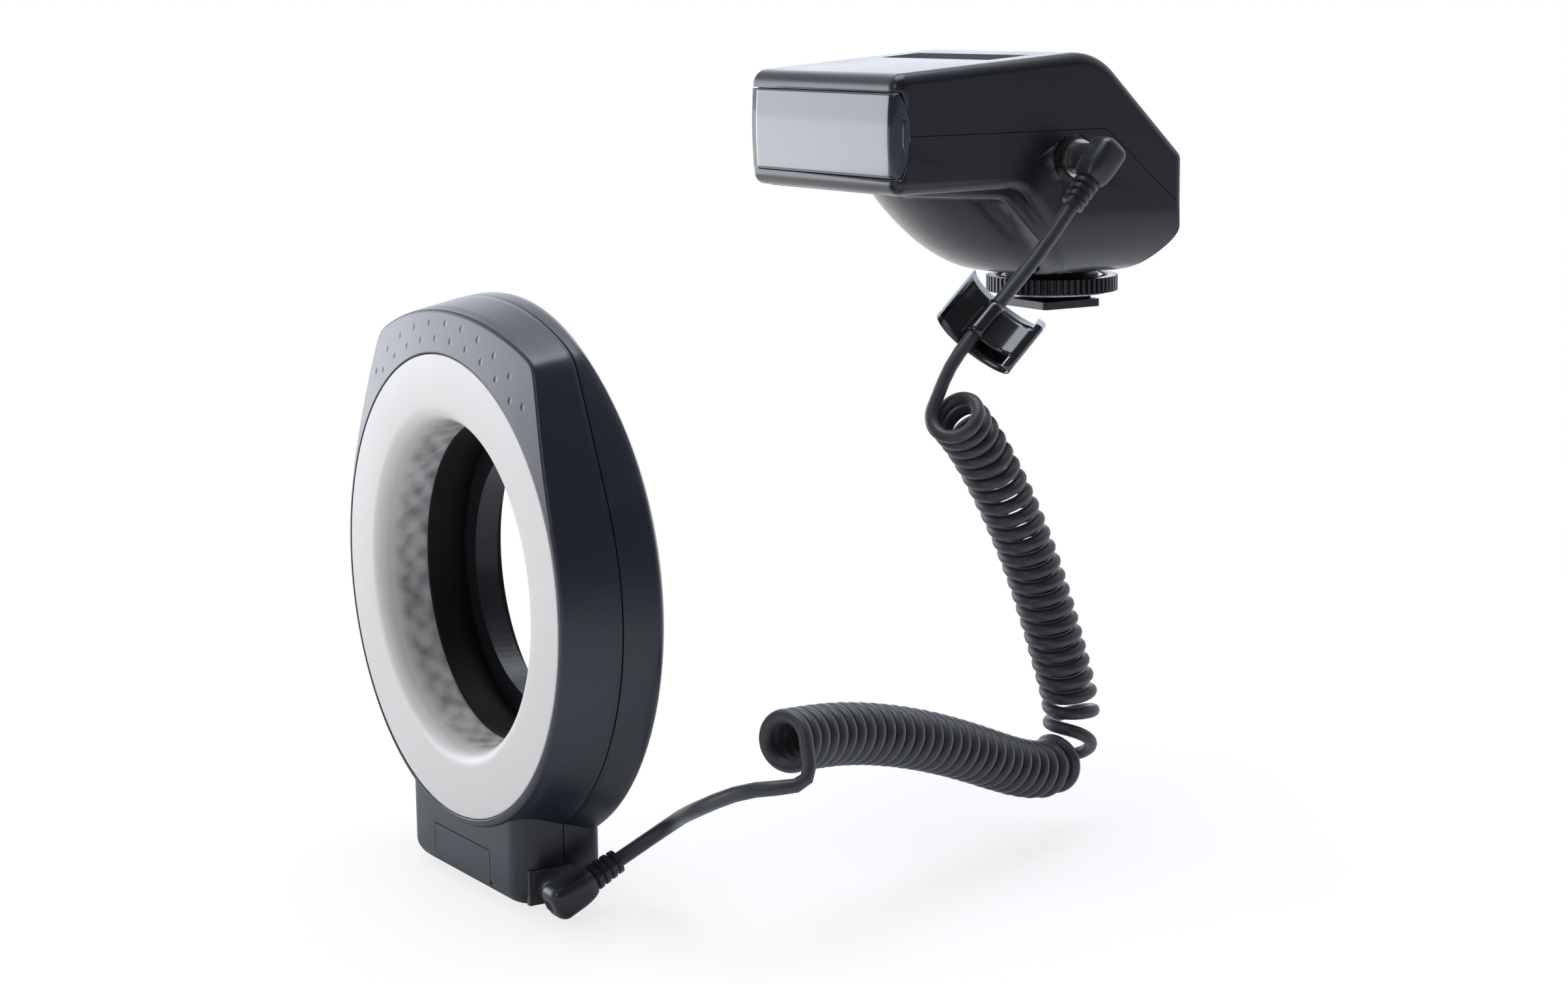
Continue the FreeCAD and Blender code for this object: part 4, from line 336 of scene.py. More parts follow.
def welded_copy(node: str, finish: bpy.types.Material, sharp_degrees: float = 24.0) -> bpy.types.Object:
    """A smooth-shaded copy of a CAD node, merged and with area-weighted normals.

    Args:
        node: the CAD node that the copy replaces.
        finish: its material.
        sharp_degrees: edges that turn by more stay sharp.

    Returns:
        The piece, named after the node.
    """
    source = frame["nodes"][node]
    name = node + "_skin"
    mesh = bpy.data.meshes.new(name)
    weld(source.data, mesh, COPY_WELD)
    mesh.materials.clear()
    smooth(mesh, sharp_degrees)
    piece = as_object(name, mesh, finish, source["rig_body"])
    weights = piece.modifiers.new("weights", "WEIGHTED_NORMAL")
    weights.keep_sharp = True
    weights.weight = 100
    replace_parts(piece, node)
    return piece


def dress(node: str, finish: bpy.types.Material) -> None:
    """Gives a CAD node a finish through its object's material slots.

    Args:
        node: the CAD node.
        finish: its material.
    """
    target = frame["nodes"][node]
    if not target.material_slots:
        target.data.materials.append(finish)
    for slot in target.material_slots:
        slot.link = "OBJECT"
        slot.material = finish
    log.info("dressed %s", node)


# Finishes


class Tree:
    """A material's node tree with short ways to add and link nodes."""

    def __init__(self, name: str) -> None:
        """Makes a material with one principled shader."""
        self.material = bpy.data.materials.new(name)
        self.material.use_nodes = True
        self.nodes = self.material.node_tree.nodes
        self.links = self.material.node_tree.links
        self.shader = self.nodes["Principled BSDF"]

    def add(self, kind: str, **settings: object) -> bpy.types.Node:
        """Adds a node.

        Args:
            kind: the node's type.
            **settings: a property's name, or a socket's label with underscores for spaces, and its value.

        Returns:
            The node.
        """
        node = self.nodes.new(kind)
        for key, value in settings.items():
            if hasattr(node, key):
                setattr(node, key, value)
            else:
                node.inputs[key.replace("_", " ")].default_value = value
        return node

    def link(self, source: bpy.types.NodeSocket, target: bpy.types.NodeSocket) -> None:
        """Joins two sockets."""
        self.links.new(source, target)

    def feed(self, source: bpy.types.NodeSocket, name: str) -> None:
        """Joins a socket to one of the shader's own."""
        self.link(source, self.shader.inputs[name])

    def noise(self, scale: float, detail: float = 2.0) -> bpy.types.NodeSocket:
        """Noise on object coordinates.

        Args:
            scale: waves per metre.
            detail: octaves on top of the first.

        Returns:
            The noise, from nought to one.
        """
        place = self.add("ShaderNodeTexCoord")
        texture = self.add("ShaderNodeTexNoise", Scale=scale, Detail=detail)
        self.link(place.outputs["Object"], texture.inputs["Vector"])
        return texture.outputs["Fac"]

    def ramp(
        self, source: bpy.types.NodeSocket, low: float, high: float, first: Triple, last: Triple
    ) -> bpy.types.NodeSocket:
        """A colour ramp between two positions.

        Args:
            source: what runs along the ramp.
            low: the first colour's position.
            high: the last colour's position.
            first: the colour up to the low position.
            last: the colour from the high position.

        Returns:
            The colour.
        """
        node = self.add("ShaderNodeValToRGB")
        node.color_ramp.elements[0].position = low
        node.color_ramp.elements[0].color = (*first, 1)
        node.color_ramp.elements[1].position = high
        node.color_ramp.elements[1].color = (*last, 1)
        self.link(source, node.inputs["Fac"])
        return node.outputs["Color"]

    def spread(self, source: bpy.types.NodeSocket, low: float, high: float) -> bpy.types.NodeSocket:
        """Maps nought to one onto a range.

        Args:
            source: a value from nought to one.
            low: what nought becomes.
            high: what one becomes.

        Returns:
            The value in its new range.
        """
        node = self.add("ShaderNodeMapRange", To_Min=low, To_Max=high)
        self.link(source, node.inputs["Value"])
        return node.outputs["Result"]

    def math(self, operation: str, first: object, second: object = 0.0) -> bpy.types.NodeSocket:
        """One math node.

        Args:
            operation: the node's operation.
            first: a socket or a number.
            second: a socket or a number.

        Returns:
            The result.
        """
        node = self.add("ShaderNodeMath", operation=operation)
        for index, value in enumerate((first, second)):
            if isinstance(value, bpy.types.NodeSocket):
                self.link(value, node.inputs[index])
            else:
                node.inputs[index].default_value = value
        return node.outputs[0]

    def bump(self, height: bpy.types.NodeSocket, distance: float, strength: float = 1.0) -> None:
        """Feeds the shader's normal with a bump.

        Args:
            height: the height, from nought to one.
            distance: what one stands for, in metres.
            strength: share of the bump that shows.
        """
        node = self.add("ShaderNodeBump", Distance=distance, Strength=strength)
        self.link(height, node.inputs["Height"])
        self.link(node.outputs["Normal"], self.shader.inputs["Normal"])

    def set(self, **values: object) -> None:
        """Sets the shader's own sockets."""
        for key, value in values.items():
            self.shader.inputs[key.replace("_", " ")].default_value = value


@dataclass(frozen=True)
class MouldedPlastic:
    """Spark-eroded plastic: a fine grain, uneven gloss and a faint drift of colour."""

    name: str
    colour: Triple
    roughness: float = 0.42
    grain: float = 2600.0
    depth: float = 0.032
    drift: float = 0.16
    specular: float = 0.5

    def material(self) -> bpy.types.Material:
        """Builds the material.

        Returns:
            The material.
        """
        tree = Tree(self.name)
        low = tuple(c * (1 - self.drift) for c in self.colour)
        high = tuple(c * (1 + self.drift) for c in self.colour)
        fine = tree.noise(self.grain, 3.0)
        broad = tree.noise(38.0, 3.0)
        both = tree.math("ADD", tree.math("MULTIPLY", fine, 0.5), tree.math("MULTIPLY", broad, 0.5))
        tree.feed(tree.ramp(both, 0.35, 0.65, low, high), "Base Color")
        tree.feed(tree.spread(broad, self.roughness - 0.05, self.roughness + 0.05), "Roughness")
        tree.set(Specular_IOR_Level=self.specular)
        tree.bump(fine, self.depth * MM)
        return tree.material


@dataclass(frozen=True)
class GlossPlastic:
    """Polished plastic with a few hairline scuffs and dust in its gloss."""

    name: str
    colour: Triple
    roughness: float = 0.08
    coat: float = 0.6

    def material(self) -> bpy.types.Material:
        """Builds the material.

        Returns:
            The material.
        """
        tree = Tree(self.name)
        dust = tree.noise(900.0, 4.0)
        dusty = tuple(c * 1.25 for c in self.colour)
        tree.feed(tree.ramp(dust, 0.3, 0.8, self.colour, dusty), "Base Color")
        tree.feed(tree.spread(dust, self.roughness * 0.7, self.roughness * 1.5), "Roughness")
        tree.set(Coat_Weight=self.coat, Coat_Roughness=0.03)
        tree.bump(tree.noise(60.0, 2.0), 0.012 * MM, 0.6)
        return tree.material


@dataclass(frozen=True)
class SoftPlastic:
    """Cord and plug compound: soft, slightly chalky, with a rubbed sheen."""

    name: str
    colour: Triple
    roughness: float = 0.5
    grain: float = 1500.0

    def material(self) -> bpy.types.Material:
        """Builds the material.

        Returns:
            The material.
        """
        tree = Tree(self.name)
        cloud = tree.noise(240.0, 5.0)
        bright = tuple(c * 1.45 for c in self.colour)
        tree.feed(tree.ramp(cloud, 0.38, 0.72, self.colour, bright), "Base Color")
        tree.feed(tree.spread(cloud, self.roughness - 0.06, self.roughness + 0.08), "Roughness")
        tree.set(Sheen_Weight=0.12, Sheen_Roughness=0.5)
        tree.bump(tree.noise(self.grain, 2.0), 0.012 * MM)
        return tree.material


@dataclass(frozen=True)
class Metal:
    """Turned or plated metal with fine streaks in its gloss."""

    name: str
    colour: Triple
    roughness: float = 0.22
    metallic: float = 1.0
    streaks: float = 0.18

    def material(self) -> bpy.types.Material:
        """Builds the material.

        Returns:
            The material.
        """
        tree = Tree(self.name)
        streak = tree.noise(700.0, 4.0)
        dull = tuple(c * (1 - self.streaks) for c in self.colour)
        tree.feed(tree.ramp(streak, 0.3, 0.75, dull, self.colour), "Base Color")
        tree.feed(tree.spread(streak, self.roughness * 0.75, self.roughness * 1.35), "Roughness")
        tree.set(Metallic=self.metallic)
        tree.bump(streak, 0.02 * self.streaks * MM, 0.5)
        return tree.material


@dataclass(frozen=True)
class BoardFinish:
    """Solder mask with copper traces and pads under it."""

    name: str
    mask: Triple = (0.012, 0.075, 0.03)
    trace: Triple = (0.03, 0.15, 0.06)

    def material(self) -> bpy.types.Material:
        """Builds the material.

        Returns:
            The material.
        """
        tree = Tree(self.name)
        place = tree.add("ShaderNodeTexCoord")
        cells = tree.add("ShaderNodeTexVoronoi", Scale=260.0, distance="CHEBYCHEV")
        tree.link(place.outputs["Object"], cells.inputs["Vector"])
        tree.feed(tree.ramp(cells.outputs["Distance"], 0.42, 0.5, self.mask, self.trace), "Base Color")
        tree.set(Roughness=0.3)
        tree.bump(cells.outputs["Distance"], 0.02 * MM)
        return tree.material


@dataclass(frozen=True)
class Frosted:
    """Frosted diffuser plastic with painted shade of the lamps seen through the wall of its bore.

    The painted shade follows the angle round the lens axis and the depth: sin(lamps * angle) * sin(rows *
    depth) gives two staggered rows of darker blotches, painted shade of the lamps seen through the frosted
    wall, which noise makes uneven. Round them the bore wall is painted a little greyer than the face, also
    painted shade. They show inside a radius in metres, and between deep and rim, which are shares of the
    depth. The flat face has none, only a faint drift.
    """

    name: str
    lamps: int = 34
    rows: float = 13.0
    strength: float = 0.16
    inside: Pair = (0.0412, 0.0398)
    deep: Pair = (0.3, 0.5)
    rim: Pair = (0.985, 0.955)
    face: Triple = (0.60, 0.572, 0.532)
    # The two colours below paint shade on the bore wall: a greyer wall, and darker blotches where the lamps
    # show through.
    wall: Triple = (0.53, 0.508, 0.48)
    lamp_painted_shade: Triple = (0.19, 0.19, 0.188)

    def material(self) -> bpy.types.Material:
        """Builds the material.

        Returns:
            The material.
        """
        tree = Tree(self.name)
        place = tree.add("ShaderNodeTexCoord")
        parts = tree.add("ShaderNodeSeparateXYZ")
        tree.link(place.outputs["Object"], parts.inputs[0])
        x, y, z = parts.outputs
        up = tree.math("SUBTRACT", z, RING_AXIS_Z * MM)
        angle = tree.math("ARCTAN2", up, x)
        depth = tree.math("DIVIDE", tree.math("SUBTRACT", y, RING_FRONT_Y * MM), SPLIT_DEPTH * MM)
        squares = tree.math("ADD", tree.math("MULTIPLY", up, up), tree.math("MULTIPLY", x, x))
        radius = tree.math("SQRT", squares)
        # Painted shade of the lamps seen through the frosted wall, in two staggered rows.
        wobble = tree.math("MULTIPLY", tree.noise(120.0, 2.0), 5.0)
        turned = tree.math("MULTIPLY", angle, float(self.lamps))
        round_wave = tree.math("SINE", tree.math("ADD", turned, wobble))
        deep_wave = tree.math("SINE", tree.math("ADD", tree.math("MULTIPLY", depth, self.rows), wobble))
        lamp_shade_waves = tree.math("MULTIPLY", tree.math("MULTIPLY", round_wave, deep_wave), self.strength)
        masks = []
        for value, (start, end) in ((radius, self.inside), (depth, self.deep), (depth, self.rim)):
            share = tree.add("ShaderNodeMapRange", From_Min=start, From_Max=end)
            tree.link(value, share.inputs["Value"])
            masks.append(share.outputs[0])
        mask = tree.math("MULTIPLY", masks[0], tree.math("MULTIPLY", masks[1], masks[2]))
        # The bore's painted shade: the greyer wall with the lamps' darker blotches.
        painted_shade_spots = tree.ramp(tree.math("ADD", tree.noise(170.0, 3.0), lamp_shade_waves), 0.3, 0.82, self.wall, self.lamp_painted_shade)
        bright = tuple(c * 1.06 for c in self.face)
        drift = tree.ramp(tree.noise(16.0, 2.0), 0.35, 0.7, self.face, bright)
        both = tree.add("ShaderNodeMix", data_type="RGBA")
        tree.link(mask, both.inputs[0])
        tree.link(drift, both.inputs[6])
        tree.link(painted_shade_spots, both.inputs[7])
        tree.feed(both.outputs[2], "Base Color")
        tree.set(Roughness=0.4, Subsurface_Weight=0.15, Subsurface_Scale=0.002, Specular_IOR_Level=0.4)
        tree.bump(tree.noise(1800.0, 2.0), 0.01 * MM)
        return tree.material


@dataclass(frozen=True)
class LabelFilm:
    """Black printed film with a pale border, wide at its start and thin along both sides, by its UV map."""

    name: str
    ink: Triple = (0.008, 0.008, 0.009)
    border: Triple = (0.6, 0.66, 0.72)
    start: float = 0.09
    side: float = 0.022

    def material(self) -> bpy.types.Material:
        """Builds the material.

        Returns:
            The material.
        """
        tree = Tree(self.name)
        place = tree.add("ShaderNodeTexCoord")
        parts = tree.add("ShaderNodeSeparateXYZ")
        tree.link(place.outputs["UV"], parts.inputs[0])
        away = tree.math("ABSOLUTE", tree.math("SUBTRACT", parts.outputs[0], 0.5))
        sides = tree.math("GREATER_THAN", away, 0.5 - self.side)
        edge = tree.math("MAXIMUM", sides, tree.math("LESS_THAN", parts.outputs[1], self.start))
        tree.feed(tree.ramp(edge, 0.4, 0.6, self.ink, self.border), "Base Color")
        tree.feed(tree.spread(tree.noise(200.0), 0.12, 0.3), "Roughness")
        tree.set(Coat_Weight=0.5, Coat_Roughness=0.08)
        tree.bump(tree.noise(150.0, 3.0), 0.02 * MM)
        return tree.material


@dataclass(frozen=True)
class ClearLens:
    """Clear or tinted plastic of a lamp."""

    name: str
    colour: Triple
    transmission: float = 0.5

    def material(self) -> bpy.types.Material:
        """Builds the material.

        Returns:
            The material.
        """
        tree = Tree(self.name)
        cloud = tree.noise(500.0)
        clear = tuple(min(1, c * 1.2) for c in self.colour)
        tree.feed(tree.ramp(cloud, 0.3, 0.7, self.colour, clear), "Base Color")
        tree.set(Roughness=0.15, Transmission_Weight=self.transmission, IOR=1.45)
        return tree.material


@dataclass
class Finishes:
    """Every finish of the object, made once."""

    made: dict[str, bpy.types.Material] = field(default_factory=dict)

    def build(self) -> None:
        """Makes the materials and keeps each by its name."""
        finishes = (
            MouldedPlastic("ring_shell_plastic", (0.0098, 0.0122, 0.019), roughness=0.36, depth=0.03),
            MouldedPlastic(
                "unit_plastic", (0.0048, 0.0062, 0.0105), roughness=0.31, depth=0.014, grain=3200.0
            ),
            MouldedPlastic("inner_plastic", (0.004, 0.004, 0.0045), roughness=0.6, specular=0.2),
            MouldedPlastic("grey_plastic", (0.05, 0.052, 0.055), roughness=0.45),
            # Painted shade: the near black of the unit's seam line, the shadow in the gap between its shells.
            MouldedPlastic("groove_black", (0.003, 0.003, 0.003), roughness=0.8, specular=0.1),
            GlossPlastic("door_gloss", (0.011, 0.016, 0.027), roughness=0.1, coat=0.4),
            MouldedPlastic("band_satin", (0.020, 0.021, 0.024), roughness=0.7, depth=0.01, specular=0.02),
            GlossPlastic("panel_gloss", (0.012, 0.013, 0.015), roughness=0.22, coat=0.2),
            GlossPlastic("cell_wrap", (0.02, 0.03, 0.09), roughness=0.2),
            SoftPlastic("cord_compound", (0.0165, 0.0178, 0.0205), roughness=0.43),
            SoftPlastic("plug_compound", (0.0085, 0.0096, 0.012), roughness=0.3),
            Metal("bright_plate", (0.95, 0.92, 0.86), roughness=0.17, streaks=0.04),
            Metal("steel", (0.5, 0.5, 0.5), roughness=0.3),
            Metal("gold_plate", (0.8, 0.6, 0.28), roughness=0.2),
            Metal("black_metal", (0.018, 0.019, 0.021), roughness=0.3, metallic=0.3),
            BoardFinish("solder_mask"),
            Frosted("frosted_plastic"),
            LabelFilm("label_film"),
            GlossPlastic("label_black", (0.008, 0.008, 0.009), roughness=0.16, coat=0.4),
            ClearLens("lamp_lens", (0.85, 0.8, 0.5)),
            ClearLens("pilot_lens", (0.35, 0.03, 0.02)),
        )
        for finish in finishes:
            self.made[finish.name] = finish.material()

    def __getitem__(self, name: str) -> bpy.types.Material:
        """The material of a finish."""
        return self.made[name]


# Ring head


@dataclass
class RingHead:
    """The lamp ring: two shells over a round-and-cornered outline, the frosted ring, and the block below.

    The outline has one set of radii at the front plane and another at the split, and a depth between the two
    takes a share of both. The block's sizes are drops below the lens axis, half widths and depths.
    """

    finishes: Finishes
    front_side: float = 57.2
    front_apex: float = 64.9
    front_corner: float = 70.1
    front_lean: float = 36.0
    split_side: float = 61.0
    split_apex: float = 68.0
    split_corner: float = 71.0
    split_lean: float = 35.0
    corner_rounding: float = 1.6
    diffuser: float = 55.3
    diffuser_bore: Pair = (40.0, 38.4)
    diffuser_wall: float = 2.0
    diffuser_rim: float = 3.8
    gap: float = 0.12
    slope: float = 12.0
    rim_rounding: float = 0.8
    seam_half: float = 0.35
    dome_start: Pair = (77.0, 10.5)
    dome_middle: Pair = (60.0, 24.5)
    dome_rounding: float = 1.4
    flat: float = 45.0
    depth: float = 31.0
    collar: float = 42.0
    collar_depth: float = 3.0
    bore_wide: float = 39.2
    bore_narrow: float = 37.5
    bore_lip: float = 40.4
    bore_step: float = 23.0
    bore_front: float = 13.0
    foot_half: float = 30.0
    foot_top: float = 46.0
    foot_bottom: float = 72.6
    foot_front: float = 1.5
    foot_rear: float = 23.5
    foot_rounding: float = 5.0
    seat_depth: float = 0.5
    badge_half: Pair = (14.7, 4.1)
    badge_drop: float = 65.4
    panel_half: float = 4.3
    panel_depths: Pair = (4.0, 15.8)
    socket_drop: float = 67.2

    def outline(self, angle: np.ndarray, depth: np.ndarray) -> np.ndarray:
        """The outline's radius at an angle round the lens axis and a depth.

        On the right half the outline is the least of three curves: the round side, a straight flank that
        touches it and ends in the corner, and the flat arc on top through the corners and the apex. The
        flank and the arc meet in a soft least, (a + b - sqrt((a - b)^2 + k^2)) / 2.

        Args:
            angle: from +X towards +Z, in radians.
            depth: behind the front plane.

        Returns:
            The radius, with the shape of both broadcast together.
        """
        share = depth / SPLIT_DEPTH
        side = self.front_side + (self.split_side - self.front_side) * share
        apex = self.front_apex + (self.split_apex - self.front_apex) * share
        corner = self.front_corner + (self.split_corner - self.front_corner) * share
        lean = np.radians(self.front_lean + (self.split_lean - self.front_lean) * share)
        across, up = corner * np.sin(lean), corner * np.cos(lean)
        arc = (across**2 + (apex - up) ** 2) / (2 * (apex - up))
        centre = apex - arc
        mirrored = np.arctan2(np.sin(angle), np.abs(np.cos(angle)))
        height = np.sin(mirrored)
        top = centre * height + np.sqrt(np.maximum(arc**2 - (centre * np.cos(mirrored)) ** 2, 0))
        touch = math.pi / 2 - lean - np.arccos(np.clip(side / corner, -1, 1))
        flank = side / np.maximum(np.cos(mirrored - touch), 0.2)
        flank = np.where(mirrored < touch, side, flank)
        top = np.where(mirrored > 0, top, 2 * flank)
        soft = self.corner_rounding
        near_top = mirrored > 0.4
        return soft_least(flank, top, soft) + soft / 8 * near_top

    def columns(self) -> np.ndarray:
        """Angles round the head, close together over the dimpled part and wider elsewhere.

        Returns:
            The angles from +X towards +Z, in radians.
        """
        fine = np.radians(np.arange(28, 152, 0.25))
        coarse = np.radians(np.arange(152, 388, 1.0))
        return np.concatenate([fine, coarse])

    def dimples(self, x: np.ndarray, z: np.ndarray) -> np.ndarray:
        """Depth of the dimples of the bezel at points of its face.

        Each dimple is half round: its floor rises from a steep left edge to nothing at its right. Inside its
        circle the depth is full * (1 - p^2 - q^2)^0.5 * (0.5 - 0.5 p), with p across and q up, in radii.

        Args:
            x: across from the lens axis.
            z: up from the lens axis.

        Returns:
            The depth at each point.
        """
        radius, full, tall = 0.72, 0.24, 1.15
        outer, inner, last = 62.6, 58.9, 61.3
        pitch, last_angle = 7.8, 39.5
        places = [(outer, 90 + pitch * k) for k in range(-4, 5)]
        places += [(inner, 90 + pitch * (k + 0.5)) for k in range(-5, 5)]
        places += [(last, 90 + side * last_angle) for side in (-1, 1)]
        total = np.zeros_like(x)
        for distance, degrees in places:
            angle = math.radians(degrees)
            p = (x - distance * math.cos(angle)) / radius
            q = (z - distance * math.sin(angle)) / (radius * tall)
            bowl = np.sqrt(np.clip(1 - p * p - q * q, 0, None))
            total = np.maximum(total, full * bowl * (0.5 - 0.5 * p))
        return total

    def bezel_depth(self, radius: np.ndarray) -> np.ndarray:
        """Depth of the bezel's shallow cone at a radius, which starts just outside the frosted ring."""
        start = self.diffuser + 0.5
        return np.maximum(radius - start, 0) * math.tan(math.radians(self.slope))

    def front_shell(self) -> bpy.types.Object:
        """The bezel and the front half of the side wall.

        Rows run from inside the frosted ring's edge over the bezel's cone, round its outer edge and back to
        the seam. A row is a share of the way from the inner edge to the outline, or a depth on the wall. The
        outline is found three times over, as it grows with the depth that the cone has there.

        Returns:
            The piece.
        """
        angle = self.columns()
        rim = self.outline(angle, np.zeros_like(angle))
        for _ in range(3):
            rim = self.outline(angle, self.bezel_depth(rim))
        edge = self.bezel_depth(rim)
        inner = self.diffuser + self.gap
        lip, lip_depth = 0.3, 0.02
        rows = []
        for out, depth in ((0.0, 4.0), (0.0, 0.45), (0.08, 0.18), (lip, lip_depth)):
            rows.append(around(inner + out, angle, depth))
        rounding = self.rim_rounding
        flat = rim - rounding
        for share in np.linspace(0, 1, 64)[1:]:
            radius = inner + lip + (flat - inner - lip) * share
            x, z = radius * np.cos(angle), radius * np.sin(angle)
            rows.append(head(x, z, self.bezel_depth(radius) + self.dimples(x, z)))
        fall = math.tan(math.radians(self.slope))
        for turn in np.radians(np.arange(12, 91, 13)):
            radius = rim - rounding * (1 - np.sin(turn))
            depth = edge + rounding * (1 - np.cos(turn)) - (rim - radius) * fall * 0.5
            rows.append(around(radius, angle, depth))
        wall_end = SPLIT_DEPTH - self.seam_half
        for share in np.linspace(0, 1, 10)[1:]:
            depth = edge + rounding + (wall_end - edge - rounding) * share
            rows.append(around(self.outline(angle, depth), angle, depth))
        rows += self.seam_rows(angle, Half.FRONT)
        mesh = sheet_mesh("ring_front", np.array(rows), close_columns=True, winding=Winding.BACKWARD)
        return as_object("ring_front", mesh, self.finishes["ring_shell_plastic"], ROOT)

    def seam_rows(self, angle: np.ndarray, part: Half) -> list[np.ndarray]:
        """The three rows that round a shell's edge into the seam.

        Args:
            angle: the shell's columns.
            part: which shell.

        Returns:
            The rows from the outside inwards.
        """
        radius = self.outline(angle, np.full_like(angle, SPLIT_DEPTH))
        steps = ((0.1, 0.2), (0.35, 0.1), (1.2, 0.05))
        return [around(radius - inset, angle, SPLIT_DEPTH + part.value * away) for inset, away in steps]

    def rear_shell(self) -> bpy.types.Object:
        """The rear half: the wall behind the seam, a domed shoulder, the flat back and the collar.

        The dome is a circle through the seam's outer edge, the shoulder and the flat's edge, and the radius
        is the soft least of the dome's and the outline's.

        Returns:
            The piece.
        """
        angle = self.columns()[::2]
        rows = self.seam_rows(angle, Half.REAR)[::-1]
        ends = (self.dome_start, self.dome_middle, (self.flat, self.depth))
        share = np.linspace(0.05, 1, 48)[:, None]
        for dome, depth in self.circle_through(*(np.array(end) for end in ends), share):
            if depth < SPLIT_DEPTH + self.seam_half:
                continue
            wall = self.outline(angle, np.full_like(angle, depth))
            rows.append(around(soft_least(wall, dome, self.dome_rounding), angle, depth))
        end, lip = self.depth + self.collar_depth, 0.4
        collar = rounded_profile(
            [
                (self.flat, self.depth, 0),
                (self.collar, self.depth, 1.2),
                (self.collar, end, 0.6),
                (self.bore_wide, end, lip),
                (self.bore_wide, end - lip, 0),
            ]
        )
        for distance, depth in collar[1:]:
            rows.append(around(distance, angle, depth))
        mesh = sheet_mesh("ring_rear", np.array(rows), close_columns=True, winding=Winding.BACKWARD)
        return as_object("ring_rear", mesh, self.finishes["ring_shell_plastic"], ROOT)

    def bore(self) -> bpy.types.Object:
        """The dark bore: the collar's inside, the step for the adapter and the light passage.

        Returns:
            The piece.
        """
        profile = rounded_profile(
            [
                (self.bore_wide, self.depth + self.collar_depth - 0.4, 0),
                (self.bore_wide, self.bore_step, 0.1),
                (self.bore_narrow, self.bore_step, 0.2),
                (self.bore_narrow, self.bore_front, 0.2),
                (self.bore_lip, self.bore_front, 0),
            ]
        )
        spun = turned_rows(profile, 180)
        points = head(spun[..., 0], spun[..., 1], spun[..., 2])
        mesh = sheet_mesh("ring_bore", points, close_columns=True, winding=Winding.BACKWARD)
        return as_object("ring_bore", mesh, self.finishes["inner_plastic"], ROOT)

    @staticmethod
    def circle_through(
        first: np.ndarray, middle: np.ndarray, last: np.ndarray, share: np.ndarray
    ) -> np.ndarray:
        """Points on the circle through three points.

        The centre is as far from the first point as from each other one, which gives two linear equations.

        Args:
            first: where the arc starts.
            middle: a point on the circle.
            last: where the arc ends.
            share: shares of the way from the first to the last point, as a column.

        Returns:
            Points by two.
        """
        a, b = 2 * (middle - first), 2 * (last - first)
        right = np.array([middle @ middle - first @ first, last @ last - first @ first])
        centre = np.linalg.solve(np.array([a, b]), right)
        start = math.atan2(*(first - centre)[::-1])
        end = math.atan2(*(last - centre)[::-1])
        turn = start + (end - start) * share
        radius = np.linalg.norm(first - centre)
        return np.concatenate([centre[0] + radius * np.cos(turn), centre[1] + radius * np.sin(turn)], axis=1)

    def frosted_ring(self) -> bpy.types.Object:
        """The diffuser: a flat face with a small outer rounding that rolls into the tapered bore.

        Returns:
            The piece.
        """
        front_bore, rear_bore = self.diffuser_bore
        rear_wall, front_wall, rim_wall = 1.2, 1.6, 1.9
        profile = rounded_profile(
            [
                (self.diffuser, self.diffuser_rim, 0),
                (self.diffuser, 0.0, 0.35),
                (front_bore, 0.0, 3.6),
                (rear_bore, SPLIT_DEPTH, 0.35),
                (rear_bore + rear_wall, SPLIT_DEPTH, 0.2),
                (front_bore + front_wall, self.diffuser_wall, 1.5),
                (self.diffuser - rim_wall, self.diffuser_wall, 0.3),
                (self.diffuser - rim_wall, self.diffuser_rim, 0.0),
            ],
            steps=10,
        )
        spun = turned_rows(profile, 240)
        points = head(spun[..., 0], spun[..., 1], spun[..., 2])
        mesh = sheet_mesh("frosted_ring", points, close_rows=True, close_columns=True)
        return as_object("frosted_ring", mesh, self.finishes["frosted_plastic"], ROOT)

    def block_plan(self, part: Half) -> np.ndarray:
        """Half of the block seen from below: a U that is open at the seam.

        Straight stretches get extra points beside the edges of the seats of the blank plate and of the plate
        round the socket. A corner is (r cos a, r sin a) about its centre.

        Args:
            part: which half.

        Returns:
            Points by (across, depth).
        """
        half, gap = self.foot_half, self.gap
        front, away = part is Half.FRONT, part.value
        seam = SPLIT_DEPTH + away * gap
        end = self.foot_front if front else self.foot_rear
        corner = 6.0 if front else 2.5
        panel_edges = () if front else (15.75, 16.0)
        depth = np.array([seam, *panel_edges, end - away * corner])
        side = np.stack([half - gap * (depth == seam), depth], axis=-1)
        turn = np.radians(np.arange(10, 81, 10))
        rise = corner * np.sin(turn) - corner
        rounded = np.stack([half - corner * (1 - np.cos(turn)), end + away * rise], axis=-1)
        plate = self.badge_half[0] + gap
        middle = 6.0
        right = np.array([half - corner, plate + gap, plate, middle])
        x = np.concatenate([right, -right[::-1]])
        bottom = np.stack([x, np.full_like(x, end)], axis=-1)
        mirrored = np.concatenate([side, rounded])[::-1] * (-1, 1)
        return np.concatenate([side, rounded, bottom, mirrored])

